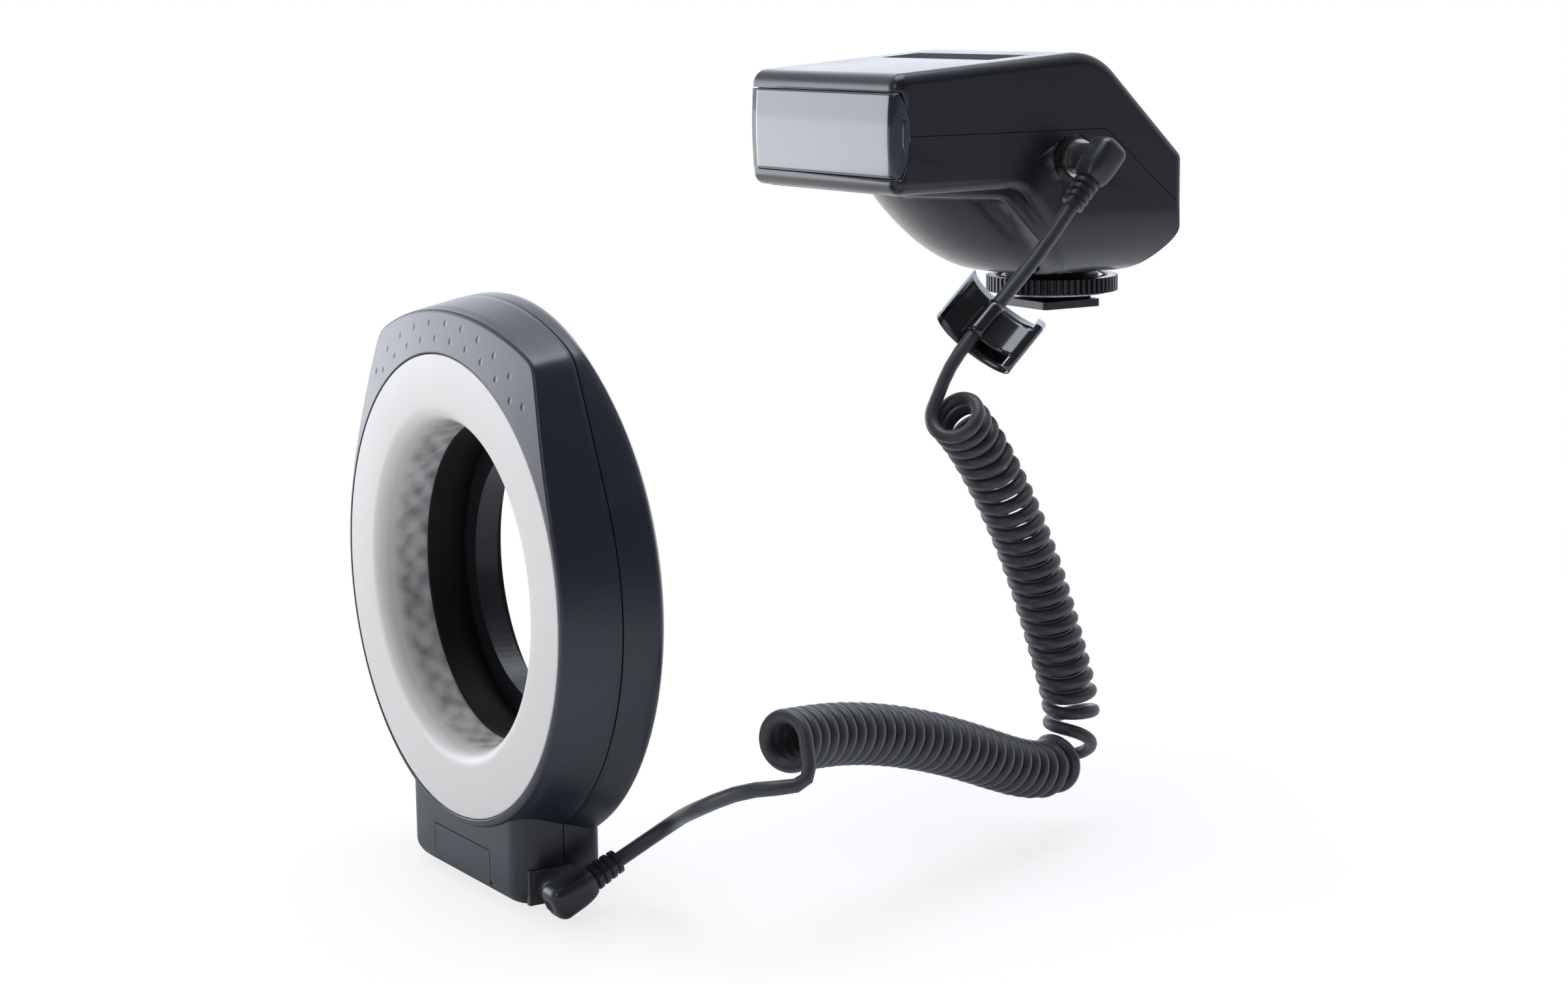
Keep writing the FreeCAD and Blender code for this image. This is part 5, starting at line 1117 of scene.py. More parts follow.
    def block_rows(self, part: Half) -> np.ndarray:
        """Half of the block under the ring, as a strip round its sides.

        Every row is the plan at one height. Near the bottom it is drawn in by r - sqrt(r^2 - h^2), which
        rounds the lower edges. Inside the two seats the surface lies deeper.

        Args:
            part: which half.

        Returns:
            Rows by columns by three.
        """
        plan = self.block_plan(part)
        rounding, bottom, gap = self.foot_rounding, -self.foot_bottom, self.gap
        badge_low, badge_high = (-self.badge_drop + side * (self.badge_half[1] + gap) for side in (-1, 1))
        panel_low, panel_high = (-self.socket_drop + side * self.panel_half for side in (-1, 1))
        top = [-self.foot_top, -50, -56]
        badge = [badge_high + gap, badge_high, badge_low, badge_low - gap]
        panel = [panel_high + gap, panel_high, panel_low, panel_low - 0.1]
        turn = np.radians(np.arange(0, 91, 9))
        levels = np.concatenate([top, badge, panel, bottom + rounding * (1 - np.sin(turn))])
        levels = np.unique(np.round(levels, 3))[::-1]
        seam_side = np.abs(plan[:, 1] - SPLIT_DEPTH) < 0.2
        near = 0.01
        across, depth = plan[:, 0], plan[:, 1]
        in_badge = (np.abs(across) < self.badge_half[0] + 0.15) & (depth < self.foot_front + near)
        first, last = self.panel_depths
        in_panel = (across > self.foot_half - 0.6) & (depth > first) & (depth < last)
        middle = np.array([0.0, (self.foot_front + self.foot_rear) / 2])
        reach = np.array([self.foot_half, (self.foot_rear - self.foot_front) / 2])
        rows = []
        for height in levels:
            low = min(max(bottom + rounding - height, 0.0), rounding)
            draw = rounding - math.sqrt(max(rounding**2 - low**2, 0.0))
            ring = middle + (plan - middle) * (1 - draw / reach)
            ring[seam_side, 1] = plan[seam_side, 1]
            ring[in_badge & (badge_low <= height <= badge_high + near), 1] += self.seat_depth
            ring[in_panel & (panel_low <= height <= panel_high + near), 0] -= self.seat_depth
            rows.append(head(ring[:, 0], np.full(len(ring), height), ring[:, 1]))
        inner = plan * np.array([0.3, 0.0]) + np.array([0.0, SPLIT_DEPTH])
        rows.append(head(inner[:, 0], np.full(len(plan), bottom), inner[:, 1]))
        return np.array(rows)

    def block(self) -> list[bpy.types.Object]:
        """Both halves of the block.

        Returns:
            The two pieces.
        """
        halves = (("block_front", Half.FRONT, Winding.FORWARD), ("block_rear", Half.REAR, Winding.BACKWARD))
        pieces = []
        for name, part, winding in halves:
            mesh = sheet_mesh(name, self.block_rows(part), winding=winding)
            pieces.append(as_object(name, mesh, self.finishes["ring_shell_plastic"], ROOT))
        return pieces

    def build(self) -> None:
        """Builds and dresses the ring head."""
        front = self.front_shell()
        rear = self.rear_shell()
        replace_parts(front, "ring_front_shell")
        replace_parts(rear, "ring_rear_shell")
        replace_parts(self.frosted_ring(), "diffuser")
        self.block()
        self.bore()
        for node, finish in (
            ("led_board", "solder_mask"),
            ("leds", "lamp_lens"),
            ("board_screws", "steel"),
            ("head_screws", "steel"),
            ("driver_board", "solder_mask"),
            ("ring_socket", "inner_plastic"),
        ):
            dress(node, self.finishes[finish])
        for node, finish in (
            ("badge_plate", "ring_shell_plastic"),
            ("socket_panel", "grey_plastic"),
            ("adapter_ring", "black_metal"),
        ):
            welded_copy(node, self.finishes[finish])
        log.info("ring head built")


# Cord


@dataclass
class CurlyCord:
    """The cord from the unit's plug to the ring's plug, one smooth line through its curls."""

    finishes: Finishes
    curl_radius: float = 5.65
    wire: float = 3.2
    lead: float = 3.6
    turns: float = 53.55
    each: int = 14
    unit_exit: Triple = (44.6, -27.928, 30.022)
    unit_degrees: float = 230.0
    ring_exit: Triple = (38.5, -155.728, -116.424)
    ring_degrees: float = 24.0
    upper_ends: Pair = (12.0, 8.0)
    upper_share: float = 0.6
    lower_ends: Pair = (6.5, 17.5)
    lower_turns: tuple[Triple, ...] = ((89.6, -151.5, -88.2), (67.98, -153.45, -98.42))
    start_side: Triple = (-0.92, -0.23, 0.336)
    axis: tuple[Triple, ...] = (
        (54, -70.7, -16.6), (50.4, -63.6, -21.8), (48, -56.4, -30), (47, -48.2, -43.2), (46.6, -41.6, -57),
        (46.4, -36.6, -70), (46.2, -32.6, -82), (46, -28.8, -93), (45.8, -27.6, -103), (48.4, -34.6, -111),
        (54, -50, -107.5), (60, -68, -99.4), (66.6, -86.5, -92), (73.4, -105.2, -86), (79.8, -122.6, -82),
        (89.5, -141.5, -79.2),
    )

    def middle_line(self, samples: int = 40) -> np.ndarray:
        """The cubic B-spline along the coil's middle.

        Four neighbours are blended by ((1-u)^3, 3u^3 - 6u^2 + 4, -3u^3 + 3u^2 + 3u + 1, u^3) / 6.

        Args:
            samples: points of each stretch.

        Returns:
            Points by three.
        """
        ends = np.array(self.axis, float)
        control = np.vstack([2 * ends[0] - ends[1], ends, 2 * ends[-1] - ends[-2]])
        u = (np.arange(samples) / samples)[:, None]
        weights = ((1 - u) ** 3, 3 * u**3 - 6 * u**2 + 4, -3 * u**3 + 3 * u**2 + 3 * u + 1, u**3)
        stretches = []
        for index in range(len(control) - 3):
            window = control[index : index + 4]
            stretches.append(sum(weight * point for weight, point in zip(weights, window)) / 6)
        return np.vstack(stretches + [ends[-1:]])

    def curls(self) -> np.ndarray:
        """Points of the curled wire.

        A frame is carried along the coil's middle, and the wire's angle grows with the length, slower where
        the coil bends, so that the inside of a bend keeps its gaps. A point is centre + (out cos a - across
        sin a) * radius, and the radius is larger by what a spline through so few points draws in.

        Returns:
            Points by three.
        """
        line = self.middle_line()
        tangent = unit(np.gradient(line, axis=0))
        sides = [unit(np.array(self.start_side) - tangent[0] * (np.array(self.start_side) @ tangent[0]))]
        for along in tangent[1:]:
            sides.append(unit(sides[-1] - along * (sides[-1] @ along)))
        side = np.array(sides)
        step = np.linalg.norm(np.diff(line, axis=0), axis=1)
        bend = np.arccos(np.clip(np.sum(tangent[1:] * tangent[:-1], axis=1), -1, 1)) / step
        angle = np.concatenate([[0], np.cumsum(step * (1 - np.minimum(self.curl_radius * bend, 0.8)))])
        total = 2 * math.pi * self.turns
        angle *= total / angle[-1]
        turn = np.linspace(0, total, int(round(self.turns * self.each)) + 1)
        centre = np.stack([np.interp(turn, angle, line[:, axis]) for axis in range(3)], axis=-1)
        out = unit(np.stack([np.interp(turn, angle, side[:, axis]) for axis in range(3)], axis=-1))
        along = unit(np.stack([np.interp(turn, angle, tangent[:, axis]) for axis in range(3)], axis=-1))
        across = np.cross(along, out)
        swell = self.curl_radius / (0.75 + 0.25 * math.cos(2 * math.pi / self.each))
        return centre + (out * np.cos(turn)[:, None] - across * np.sin(turn)[:, None]) * swell

    def direction(self, degrees: float) -> np.ndarray:
        """A direction in the plane of Y and Z at an angle from +Y."""
        return np.array([0.0, math.cos(math.radians(degrees)), math.sin(math.radians(degrees))])

    def straight(self, curls: np.ndarray) -> tuple[np.ndarray, np.ndarray]:
        """Both ends of the straight stretch of the upper lead, which carries the label.

        Args:
            curls: the curled wire's points.

        Returns:
            The end by the plug and the end by the curls.
        """
        heading = unit(curls[1] - curls[0])
        first = np.array(self.unit_exit) + self.direction(self.unit_degrees) * self.upper_ends[0]
        return first, curls[0] - heading * (self.wire + self.upper_ends[1])

    def route(self) -> tuple[np.ndarray, int, int]:
        """The whole cord's route.

        Returns:
            Its control points, and the places in them of the first point of the curls and of the first one
            after them.
        """
        curls = self.curls()
        first, last = self.straight(curls)
        leaving = unit(curls[-1] - curls[-2])
        end = np.array(self.ring_exit)
        upper = [np.array(self.unit_exit), first, first + (last - first) * self.upper_share, last]
        lower = [curls[-1] + leaving * (self.wire + self.lower_ends[0])]
        lower += [np.array(spot) for spot in self.lower_turns]
        lower += [end + self.direction(self.ring_degrees) * self.lower_ends[1], end]
        points = np.vstack([upper, curls, lower])
        return points, len(upper), len(upper) + len(curls)

    def build(self) -> bpy.types.Object:
        """The cord as one open spline with a round section, thicker in its straight leads.

        Returns:
            The cord.
        """
        points, first, last = self.route()
        data = bpy.data.curves.new("curly_cord", "CURVE")
        data.dimensions = "3D"
        data.bevel_depth = self.wire / 2 * MM
        data.bevel_resolution = 4
        data.resolution_u = 3
        data.use_fill_caps = True
        spline = data.splines.new("NURBS")
        spline.points.add(len(points) - 1)
        coordinates = np.hstack([points * MM, np.ones((len(points), 1))])
        spline.points.foreach_set("co", coordinates.ravel())
        radius = np.ones(len(points))
        radius[: first - 1] = self.lead / self.wire
        radius[last + 1 :] = self.lead / self.wire
        spline.points.foreach_set("radius", radius)
        spline.order_u = 3
        spline.use_endpoint_u = True
        cord = bpy.data.objects.new("curly_cord", data)
        bpy.context.scene.collection.objects.link(cord)
        data.materials.append(self.finishes["cord_compound"])
        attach(cord, ROOT)
        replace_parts(cord, "cord_coil", "upper_lead", "lower_lead")
        log.info("cord built with %d control points", len(points))
        return cord


# Plugs and label


@dataclass
class Plug:
    """An angled plug: a round leg out of its socket, a rounded block as its head and a ribbed relief.

    In its own frame p runs out of the socket, q along the head towards the cord, and r across both.
    """

    name: str
    face: Triple
    degrees: float
    leg: float = 8.5
    leg_radius: float = 4.0
    half: float = 4.25
    rear: float = 5.4
    front: float = 6.2
    end_rounding: float = 2.4
    relief: float = 8.0
    ribs: int = 4
    rib: float = 3.3
    rib_loss: float = 0.12
    neck: float = 2.5
    tip: float = 2.2
    grip_degrees: float = 180.0
    grip_place: float = 7.5
    grip_pitch: float = 1.1
    grip_half: Pair = (0.24, 1.6)
    grip_height: float = 0.3
    grip_sunk: float = 0.1

    def place(self, local: np.ndarray) -> np.ndarray:
        """Points of the plug's frame in the row frame: face + p X + q (0, cos, sin) + r (0, -sin, cos).

        Args:
            local: points with (p, q, r) last.

        Returns:
            The points with (x, y, z) last.
        """
        turn = math.radians(self.degrees)
        cosine, sine = math.cos(turn), math.sin(turn)
        axes = np.array([[1, 0, 0], [0, cosine, sine], [0, -sine, cosine]])
        return np.array(self.face) + local @ axes

    def sections(self) -> np.ndarray:
        """The cross-sections along the head and the relief, from the rounded rear end to the cord.

        Returns:
            Rows of q, half size and the exponent of the corners, which is 2 for a circle.
        """
        boxy, blended, nearly_round, circle = 3.4, 3.0, 2.2, 2.0
        reach = self.end_rounding
        rows = []
        for turn in np.radians(np.arange(0, 91, 11.25)):
            size = self.half - reach * (1 - math.sin(turn))
            rows.append((-self.rear + reach * (1 - math.cos(turn)), size, boxy))
        block = ((1.5, self.half), (3.2, self.half - 0.15), (4.6, 3.85), (5.6, 3.5), (6.0, 3.3), (6.2, 2.9))
        rows += [(q, size, blended) for q, size in block]
        rows.append((self.front + 0.05, self.neck, nearly_round))
        step = self.relief / self.ribs
        for index in range(self.ribs):
            start = self.front + step * index
            size = self.rib - self.rib_loss * index
            rib = ((0.33, self.neck), (0.36, size - 0.25), (0.42, size), (0.9, size), (0.96, size - 0.2))
            rows += [(start + step * share, radius, circle) for share, radius in rib]
            if index < self.ribs - 1:
                rows.append((start + step, self.neck, circle))
        rows.append((self.front + self.relief, self.tip, circle))
        return np.array(rows)

    def head_mesh(self) -> bpy.types.Mesh:
        """The head and relief as one grid.

        A section is a superellipse: half * sign(cos a) |cos a|^(2/n) across p and the same with sin across r.

        Returns:
            The mesh.
        """
        rows = self.sections()
        columns = 72
        angle = np.arange(columns) * 2 * math.pi / columns
        half, power = rows[:, 1:2], 2 / rows[:, 2:]
        p = self.leg + half * signed_power(np.cos(angle), power)
        r = half * signed_power(np.sin(angle), power)
        q = rows[:, :1] + 0 * angle
        points = self.place(np.stack([p, q, r], axis=-1))
        return sheet_mesh(self.name + "_head", points, close_columns=True, cap=True, sharp_degrees=50)

    def leg_mesh(self) -> bpy.types.Mesh:
        """The leg, turned about p.

        Returns:
            The mesh.
        """
        start, radius = 0.02, self.leg_radius
        profile = rounded_profile([(0.0, start, 0), (radius, start, 0.5), (radius, self.leg, 0)])
        spun = turned_rows(profile[1:], 64)
        points = self.place(np.stack([spun[..., 2], spun[..., 0], spun[..., 1]], axis=-1))
        return sheet_mesh(self.name + "_leg", points, close_columns=True, cap=True, sharp_degrees=50)

    def grip_meshes(self) -> list[bpy.types.Mesh]:
        """Three short raised lines on one side of the block, each a flattened dome.

        A line's height is full * sqrt(1 - u^2) * sqrt(1 - v^4) with u across and v along it. The side that it
        stands on is found by turning q about p.

        Returns:
            The meshes.
        """
        meshes = []
        half_wide, half_long = self.grip_half
        u = np.linspace(-1, 1, 9)
        v = np.linspace(-1, 1, 17)[:, None]
        slender = np.sqrt(np.clip(1 - v**4, 0, 1))
        turn = math.radians(self.grip_degrees)
        face = self.half if abs(math.sin(turn)) > 0.5 else self.rear
        reach = face - self.grip_sunk
        for index in range(3):
            p = self.grip_place + self.grip_pitch * (index - 1) + half_wide * u * slender
            out = reach + self.grip_height * np.sqrt(np.clip(1 - u**2, 0, 1)) * slender
            across = half_long * v + 0 * u
            q = math.cos(turn) * out - math.sin(turn) * across
            r = math.sin(turn) * out + math.cos(turn) * across
            local = np.stack(np.broadcast_arrays(p, q, r), axis=-1)
            name = f"{self.name}_grip_{index}"
            meshes.append(sheet_mesh(name, self.place(local), winding=Winding.BACKWARD))
        return meshes

    def build(self, finish: bpy.types.Material) -> bpy.types.Object:
        """Joins the parts into one piece.

        Args:
            finish: its material.

        Returns:
            The piece.
        """
        mesh = joined(self.name + "_skin", [self.head_mesh(), self.leg_mesh(), *self.grip_meshes()])
        piece = as_object(self.name + "_skin", mesh, finish, ROOT)
        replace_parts(piece, self.name)
        return piece


@dataclass
class FlagLabel:
    """The blank label on the upper lead: a sleeve, a wide flag behind it and a fold at one side."""

    first: np.ndarray
    last: np.ndarray
    share: float = 0.655
    wide: float = 16.0
    narrow: float = 10.0
    thickness: float = 0.45
    sleeve: float = 2.25
    facing: Triple = (0.84, -0.52, 0.17)
    back: tuple[Pair, ...] = (
        (-9.6, 1.4), (-8, -0.8), (-4.5, -2.6), (0, -3.1), (4.5, -2.7), (8.5, -1.4), (11.2, 0.3), (12.2, 2),
        (11.4, 3.4), (9.8, 3.2),
    )
    fold: tuple[Pair, ...] = ((11.4, 3.4), (9.8, 3.2), (7.6, 1.7), (4.6, 0.8), (1.9, 0.4))

    def axes(self) -> np.ndarray:
        """The label's own axes.

        Returns:
            Across the lead, towards the viewer and along the lead, as rows.
        """
        along = unit(self.last - self.first)
        facing = np.array(self.facing)
        toward = unit(facing - along * (facing @ along))
        return np.array([np.cross(toward, along), toward, along])

    @staticmethod
    def flowing(points: Sequence[Pair], steps: int = 7) -> np.ndarray:
        """A smooth line through points.

        Between b and c, with the neighbours a and d, it is the Catmull-Rom curve
        0.5 (2b + (c-a)t + (2a-5b+4c-d)t^2 + (3b-3c+d-a)t^3).

        Args:
            points: the points.
            steps: points of each stretch.

        Returns:
            Points by two.
        """
        knots = np.array(points, float)
        knots = np.vstack([2 * knots[0] - knots[1], knots, 2 * knots[-1] - knots[-2]])
        t = (np.arange(steps) / steps)[:, None]
        stretches = []
        for a, b, c, d in zip(knots, knots[1:], knots[2:], knots[3:]):
            square, cube = (2 * a - 5 * b + 4 * c - d) * t**2, (3 * b - 3 * c + d - a) * t**3
            stretches.append(0.5 * (2 * b + (c - a) * t + square + cube))
        return np.vstack(stretches + [knots[-2:-1]])

    def strip(
        self, name: str, line: np.ndarray, width: float, finish: bpy.types.Material
    ) -> bpy.types.Object:
        """A thin strip: a line across the lead carried along it, given its thickness by a modifier.

        Args:
            name: the piece's name.
            line: points by (across, towards the viewer).
            width: the strip's size along the lead.
            finish: its material.

        Returns:
            The piece.
        """
        middle = self.first + (self.last - self.first) * self.share
        along = np.linspace(-width / 2, width / 2, 9)[:, None]
        local = np.stack(np.broadcast_arrays(line[:, 0], line[:, 1], along), axis=-1)
        piece = as_object(name, sheet_mesh(name, middle + local @ self.axes()), finish, ROOT)
        skin = piece.modifiers.new("thickness", "SOLIDIFY")
        skin.thickness = self.thickness * MM
        skin.offset = 0
        return piece

    def build(self, film: bpy.types.Material, black: bpy.types.Material) -> list[bpy.types.Object]:
        """Builds the flag, its fold and its sleeve.

        Args:
            film: the flag's material.
            black: the fold's and the sleeve's material.

        Returns:
            The three pieces.
        """
        turn = np.linspace(0, 2 * math.pi, 41)
        tube = np.stack([np.cos(turn), np.sin(turn)], axis=-1) * (self.sleeve - self.thickness / 2)
        pieces = [
            self.strip("label_flag", self.flowing(self.back), self.wide, film),
            self.strip("label_fold", self.flowing(self.fold), self.narrow, black),
            self.strip("label_sleeve", tube, self.narrow, black),
        ]
        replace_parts(pieces[0], "flag_label")
        return pieces


@dataclass
class Connections:
    """Both angled plugs with their pins, and the flag label."""

    finishes: Finishes
    cord: CurlyCord

    def build(self) -> list[bpy.types.Object]:
        """Builds the plugs and the label and dresses the pins.

        Returns:
            The pieces that go with the cord.
        """
        pieces = []
        for plug in (
            Plug("ring_plug", (30.0, -168.7, -122.2), self.cord.ring_degrees),
            Plug("unit_plug", (36.1, -18.8, 40.9), self.cord.unit_degrees, grip_degrees=-90.0),
        ):
            pieces.append(plug.build(self.finishes["plug_compound"]))
            dress(plug.name + "_pin", self.finishes["bright_plate"])
            pieces.append(frame["nodes"][plug.name + "_pin"])
        first, last = self.cord.straight(self.cord.curls())
        pieces += FlagLabel(first, last).build(self.finishes["label_film"], self.finishes["label_black"])
        log.info("plugs and label built")
        return pieces


# Control unit


@dataclass
class BatteryDoor:
    """The glossy door: bulged in front, round the corner, and D-shaped on the side with a pill on it."""

    side: float = 33.5
    front: float = -72.7
    low: float = 38.0
    high: float = 58.5
    edge: float = 3.2
    hinge: Pair = (-31.3, -70.5)
    barrel: float = 2.18
    pin_hole: float = 0.81
    thickness: float = 2.1
    bulge: float = 0.5
    bow_start: float = 1.5
    bow: float = 2.8
    pill_middle: Pair = (2.65, 48.4)
    pill_half: Pair = (0.55, 4.2)
    pill_power: Pair = (0.6, 0.8)

    def ends(self, z: np.ndarray) -> np.ndarray:
        """Length round the corner at which the door ends at a height.

        The end's distance behind the front is b + sqrt(R^2 - h^2) - (R - w), an arc of sagitta w. On the
        corner's arc the length is edge * acos(1 - distance / edge), and beyond it the side is straight.

        Args:
            z: the heights.

        Returns:
            The length at each height.
        """
        half, middle = (self.high - self.low) / 2, (self.high + self.low) / 2
        radius = (half**2 + self.bow**2) / (2 * self.bow)
        distance = self.bow_start + np.sqrt(radius**2 - (z - middle) ** 2) - (radius - self.bow)
        on_arc = self.edge * np.arccos(np.clip(1 - distance / self.edge, -1, 1))
        beyond = self.edge * math.pi / 2 + distance - self.edge
        return np.where(distance < self.edge, on_arc, beyond)

    def skin(self) -> bpy.types.Mesh:
        """The outer face, by height and by length from the hinge side round the corner.

        Along the length the face is straight, then a quarter circle and then straight on the side. It swells
        forwards by bulge * (1 - t^2) with t from the middle height, and less and less round the corner.

        Returns:
            The mesh.
        """
        z = np.linspace(self.low, self.high, 31)[:, None]
        flat = self.side - self.edge - self.hinge[0]
        ahead = np.linspace(0, 1, 25)[None, :] * flat
        past = np.linspace(0, 1, 29)[None, 1:] * self.ends(z)
        length = np.hstack([ahead + 0 * z, flat + past])
        turn = np.clip((length - flat) / self.edge, 0, math.pi / 2)
        beyond = np.maximum(length - flat - self.edge * math.pi / 2, 0)
        x = self.hinge[0] + np.minimum(length, flat) + self.edge * np.sin(turn)
        y = self.front + self.edge * (1 - np.cos(turn)) + beyond
        half, middle = (self.high - self.low) / 2, (self.high + self.low) / 2
        swell = 1 - ((z - middle) / half) ** 2
        y = y - self.bulge * swell * np.cos(turn) ** 2
        points = np.stack(np.broadcast_arrays(x, y, z), axis=-1)
        return sheet_mesh("door_face", points)

    def pill(self) -> bpy.types.Mesh:
        """The raised pill on the side.

        Its rings are superellipses, half * sign(cos a) |cos a|^n back and the same with sin up, and each is
        a share of the whole one at its own height over the side.

        Returns:
            The mesh.
        """
        columns = 48
        turn = np.arange(columns) * 2 * math.pi / columns
        rings = ((1.06, -0.2), (1.0, 0.12), (0.94, 0.3), (0.8, 0.36), (0.4, 0.36), (0.02, 0.36))
        share, rise = np.array(rings).T[:, :, None]
        back, up = self.pill_middle
        y = self.front + back + self.pill_half[0] * share * signed_power(np.cos(turn), self.pill_power[0])
        z = up + self.pill_half[1] * share * signed_power(np.sin(turn), self.pill_power[1])
        points = np.stack(np.broadcast_arrays(self.side + rise, y, z), axis=-1)
        return sheet_mesh("door_pill", points, close_columns=True, cap=True)

    def build(self, finish: bpy.types.Material) -> None:
        """Builds the door's wall, its hinge barrel and its pill.

        Args:
            finish: their material.
        """
        face = as_object("door_face", self.skin(), finish, "door")
        wall = face.modifiers.new("wall", "SOLIDIFY")
        wall.thickness = self.thickness * MM
        wall.offset = -1
        low, high = self.low, self.high
        section = [(self.pin_hole, low), (self.barrel, low), (self.barrel, high), (self.pin_hole, high)]
        tube = turned_rows(np.array(section), 48) + np.array([*self.hinge, 0.0])
        mesh = sheet_mesh("door_barrel", tube, close_rows=True, close_columns=True)
        as_object("door_barrel", mesh, finish, "door")
        as_object("door_pill", self.pill(), finish, "door")
        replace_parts(face, "battery_door")


@dataclass
class ControlUnit:
    """The battery control unit: shells, door, controls and what is inside."""

    finishes: Finishes
    half_width: float = 33.5
    seam_line: tuple[Triple, ...] = ((-68.0, 48.0, 0), (-8.3, 48.0, 6.0), (14.2, 28.84, 0))
    seam_half: float = 0.11
    seam_proud: float = 0.015
    seam_sunk: float = 0.3

    def seam(self) -> None:
        """The fine dark line between the shells on both sides, a square thread half sunk in them, painted
        near black as the shade in the gap between the shells.

        Its section's corners lie at plus and minus half across the line, proud of the side and sunk in it.
        """
        line = rounded_profile(self.seam_line, steps=10)
        along = unit(np.gradient(line, axis=0))
        normal = np.stack([-along[:, 1], along[:, 0]], axis=-1)
        half, proud, sunk = self.seam_half, self.seam_proud, -self.seam_sunk
        for name, side, winding in (("seam_right", 1, Winding.FORWARD), ("seam_left", -1, Winding.BACKWARD)):
            corners = []
            for out, aside in ((proud, half), (proud, -half), (sunk, -half), (sunk, half)):
                spot = line + normal * aside
                x = np.full(len(spot), side * (self.half_width + out))
                corners.append(np.stack([x, spot[:, 0], spot[:, 1]], axis=-1))
            points = np.stack(corners, axis=1)
            mesh = sheet_mesh(name, points, close_columns=True, cap=True, winding=winding)
            # The thread's near black is painted shade of the gap between the shells.
            as_object(name, mesh, self.finishes["groove_black"], ROOT)

    def build(self) -> None:
        """Builds and dresses the unit."""
        self.seam()
        BatteryDoor().build(self.finishes["door_gloss"])
        for node, finish in (
            ("unit_upper_shell", "unit_plastic"),
            ("unit_lower_shell", "unit_plastic"),
            ("top_band", "band_satin"),
            ("rear_panel", "panel_gloss"),
            ("jack_nut", "bright_plate"),
            ("mode_button", "grey_plastic"),
            ("test_button", "grey_plastic"),
            ("power_switch", "grey_plastic"),
            ("pilot_lamp", "pilot_lens"),
        ):
            welded_copy(node, self.finishes[finish])
        for node, finish in (
            ("battery_box", "inner_plastic"),
            ("cell_1", "cell_wrap"),
            ("cell_2", "cell_wrap"),
            ("cell_3", "cell_wrap"),
            ("cell_4", "cell_wrap"),
            ("battery_springs", "steel"),
            ("door_contacts", "gold_plate"),
            ("door_pin", "steel"),
            ("main_board", "solder_mask"),
            ("control_board", "solder_mask"),
            ("jack_body", "inner_plastic"),
            ("unit_screws", "steel"),
            ("neck_nut", "steel"),
        ):
            dress(node, self.finishes[finish])
        log.info("control unit built")


@dataclass
class ShoeMount:
    """The foot plate, its neck, the pressure plate and the knurled lock ring."""

    finishes: Finishes

    def build(self) -> None:
        """Builds and dresses the shoe."""
        for node, finish in (
            ("shoe_foot", "black_metal"),
            ("lock_ring", "black_metal"),
            ("clamp_plate", "steel"),
            ("shoe_contact", "gold_plate"),
        ):
            welded_copy(node, self.finishes[finish])
        log.info("shoe mount built")


# Studio


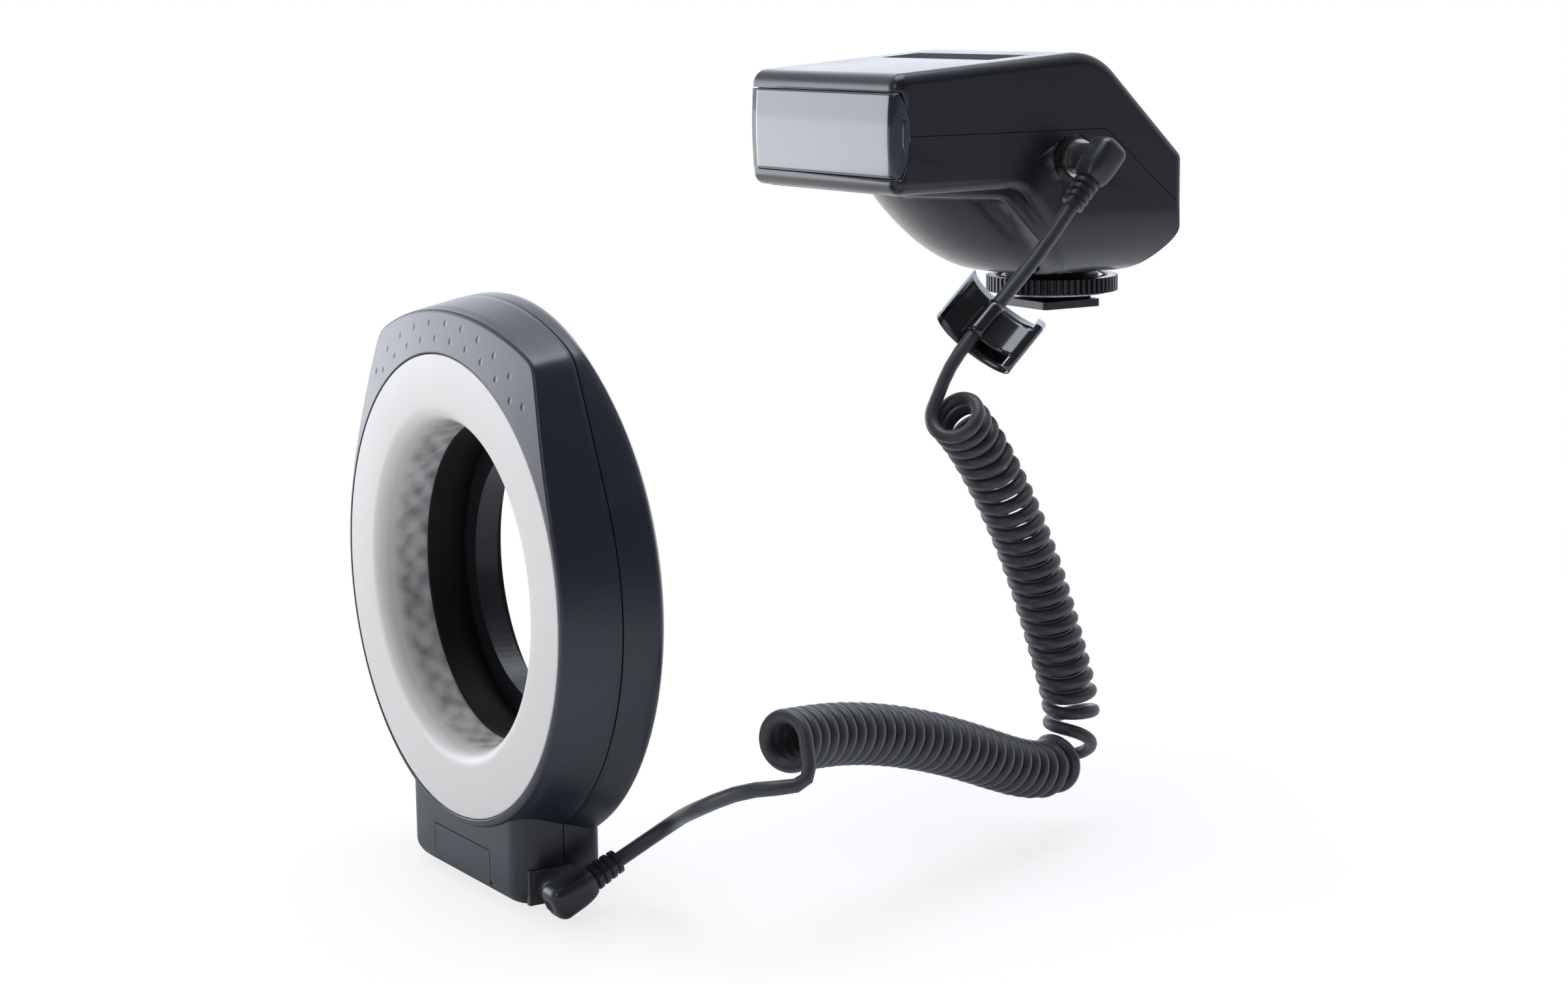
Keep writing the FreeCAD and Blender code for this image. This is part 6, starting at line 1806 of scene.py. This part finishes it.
@dataclass
class Studio:
    """The camera at the photograph's angle, soft light and a pale floor. Its places and sizes are metres."""

    camera_at: Triple = (0.62754, -0.47776, 0.08435)
    right: Triple = (0.5328, 0.8462, -0.0123)
    up: Triple = (-0.1360, 0.0999, 0.9857)
    back: Triple = (0.8352, -0.5235, 0.1683)
    lens: float = 68.28
    sensor: float = 36.0
    floor_z: float = -0.1285
    floor_half: float = 12.0
    floor_gloss: float = 1.5
    middle: Triple = (0.02, -0.09, -0.02)
    cool: Triple = (0.87, 0.91, 1.0)

    def camera(self) -> None:
        """Places the camera by its three axes."""
        data = bpy.data.cameras.new("camera")
        data.lens = self.lens
        data.sensor_width = self.sensor
        data.clip_end = 50
        camera = bpy.data.objects.new("camera", data)
        bpy.context.scene.collection.objects.link(camera)
        turn = Matrix((self.right, self.up, self.back)).transposed().to_4x4()
        camera.matrix_world = Matrix.Translation(Vector(self.camera_at)) @ turn
        bpy.context.scene.camera = camera

    def floor(self) -> None:
        """A wide pale floor that shows almost white and keeps the object's shadow.

        The camera sees a share of glow in it, less near the object, where the shadow lies. Gloss sees glow
        only to the left of the object.
        """
        half, z = self.floor_half, self.floor_z
        corners = [(-half, -half, z), (half, -half, z), (half, half, z), (-half, half, z)]
        mesh = bpy.data.meshes.new("floor")
        mesh.from_pydata(corners, [], [(0, 1, 2, 3)])
        floor = bpy.data.objects.new("floor", mesh)
        bpy.context.scene.collection.objects.link(floor)
        tree = Tree("floor_paint")
        tree.nodes.remove(tree.shader)
        paint = tree.add("ShaderNodeBsdfDiffuse", Color=(0.9, 0.9, 0.9, 1))
        glow = tree.add("ShaderNodeEmission", Color=(1, 1, 1, 1))
        ray = tree.add("ShaderNodeLightPath")
        mix = tree.add("ShaderNodeMixShader")
        place = tree.add("ShaderNodeTexCoord")
        away = tree.add("ShaderNodeVectorMath", operation="LENGTH")
        tree.link(place.outputs["Object"], away.inputs[0])
        far = tree.add("ShaderNodeMapRange", From_Min=0.14, From_Max=0.42, To_Min=0.7, To_Max=1.0)
        tree.link(away.outputs["Value"], far.inputs["Value"])
        parts = tree.add("ShaderNodeSeparateXYZ")
        tree.link(place.outputs["Object"], parts.inputs[0])
        left = tree.add("ShaderNodeMapRange", From_Min=0.02, From_Max=-0.3)
        tree.link(parts.outputs[0], left.inputs["Value"])
        mirrored = tree.math("MULTIPLY", ray.outputs["Is Glossy Ray"], left.outputs[0])
        seen = tree.math("MULTIPLY", ray.outputs["Is Camera Ray"], far.outputs[0])
        tree.link(tree.math("MAXIMUM", seen, mirrored), mix.inputs[0])
        gloss = tree.math("MULTIPLY", mirrored, self.floor_gloss)
        bright = tree.math("ADD", gloss, ray.outputs["Is Camera Ray"])
        tree.link(bright, glow.inputs["Strength"])
        tree.link(paint.outputs[0], mix.inputs[1])
        tree.link(glow.outputs[0], mix.inputs[2])
        tree.link(mix.outputs[0], tree.nodes["Material Output"].inputs["Surface"])
        mesh.materials.append(tree.material)

    def world(self) -> None:
        """White where the camera looks, and a soft room for gloss: bright behind the object, dim in front."""
        world = bpy.data.worlds.new("room")
        world.use_nodes = True
        bpy.context.scene.world = world
        nodes, links = world.node_tree.nodes, world.node_tree.links
        background = nodes["Background"]
        place = nodes.new("ShaderNodeTexCoord")
        facing = nodes.new("ShaderNodeVectorMath")
        facing.operation = "DOT_PRODUCT"
        facing.inputs[1].default_value = (-self.back[0], -self.back[1], 0.25)
        links.new(place.outputs["Generated"], facing.inputs[0])
        spread = nodes.new("ShaderNodeMapRange")
        spread.interpolation_type = "SMOOTHSTEP"
        for key, value in (("From Min", -0.35), ("From Max", 0.55), ("To Min", 0.16), ("To Max", 0.95)):
            spread.inputs[key].default_value = value
        links.new(facing.outputs["Value"], spread.inputs["Value"])
        ray = nodes.new("ShaderNodeLightPath")
        seen = nodes.new("ShaderNodeMix")
        seen.data_type = "FLOAT"
        links.new(ray.outputs["Is Camera Ray"], seen.inputs[0])
        links.new(spread.outputs["Result"], seen.inputs[2])
        seen.inputs[3].default_value = 1.0
        links.new(seen.outputs[0], background.inputs["Strength"])
        tint = nodes.new("ShaderNodeMix")
        tint.data_type = "RGBA"
        tint.inputs[6].default_value = (*self.cool, 1)
        tint.inputs[7].default_value = (1, 1, 1, 1)
        links.new(ray.outputs["Is Camera Ray"], tint.inputs[0])
        links.new(tint.outputs[2], background.inputs["Color"])

    def lamp(self, name: str, toward: Sequence[float], distance: float, size: float, power: float) -> None:
        """A square soft lamp in a direction from the object's middle, aimed at it.

        Args:
            name: the lamp's name.
            toward: the direction from the middle.
            distance: how far away it stands.
            size: its side.
            power: in watts.
        """
        way = Vector(toward).normalized()
        data = bpy.data.lights.new(name, "AREA")
        data.shape = "SQUARE"
        data.size = size
        data.energy = power
        data.color = self.cool
        lamp = bpy.data.objects.new(name, data)
        bpy.context.scene.collection.objects.link(lamp)
        lamp.location = Vector(self.middle) + way * distance
        lamp.rotation_mode = "QUATERNION"
        lamp.rotation_quaternion = way.to_track_quat("Z", "Y")
        lamp.visible_camera = False

    def build(self) -> None:
        """Sets the stage."""
        view = bpy.context.scene.view_settings
        view.view_transform = "Standard"
        self.camera()
        self.floor()
        self.world()
        self.lamp("left_soft", (-0.84, -0.54, -0.12), 1.0, 0.95, 11.0)
        self.lamp("top_soft", (-0.1, 0.05, 1.0), 1.0, 0.8, 9.0)
        self.lamp("front_soft", (0.35, -1.0, 0.5), 1.3, 0.5, 2.5)
        self.lamp("rear_soft", (-0.8, 0.52, 0.26), 1.2, 0.8, 3.2)
        log.info("studio built")


def main() -> None:
    """Builds the studio, the cord and the rest of the object in order."""
    logging.basicConfig(level=logging.INFO)
    finishes = Finishes()
    finishes.build()
    Studio().build()
    cord = CurlyCord(finishes)
    line = cord.build()
    with_pieces = Connections(finishes, cord).build()
    RingHead(finishes).build()
    ControlUnit(finishes).build()
    ShoeMount(finishes).build()


if __name__ == "__main__":
    main()
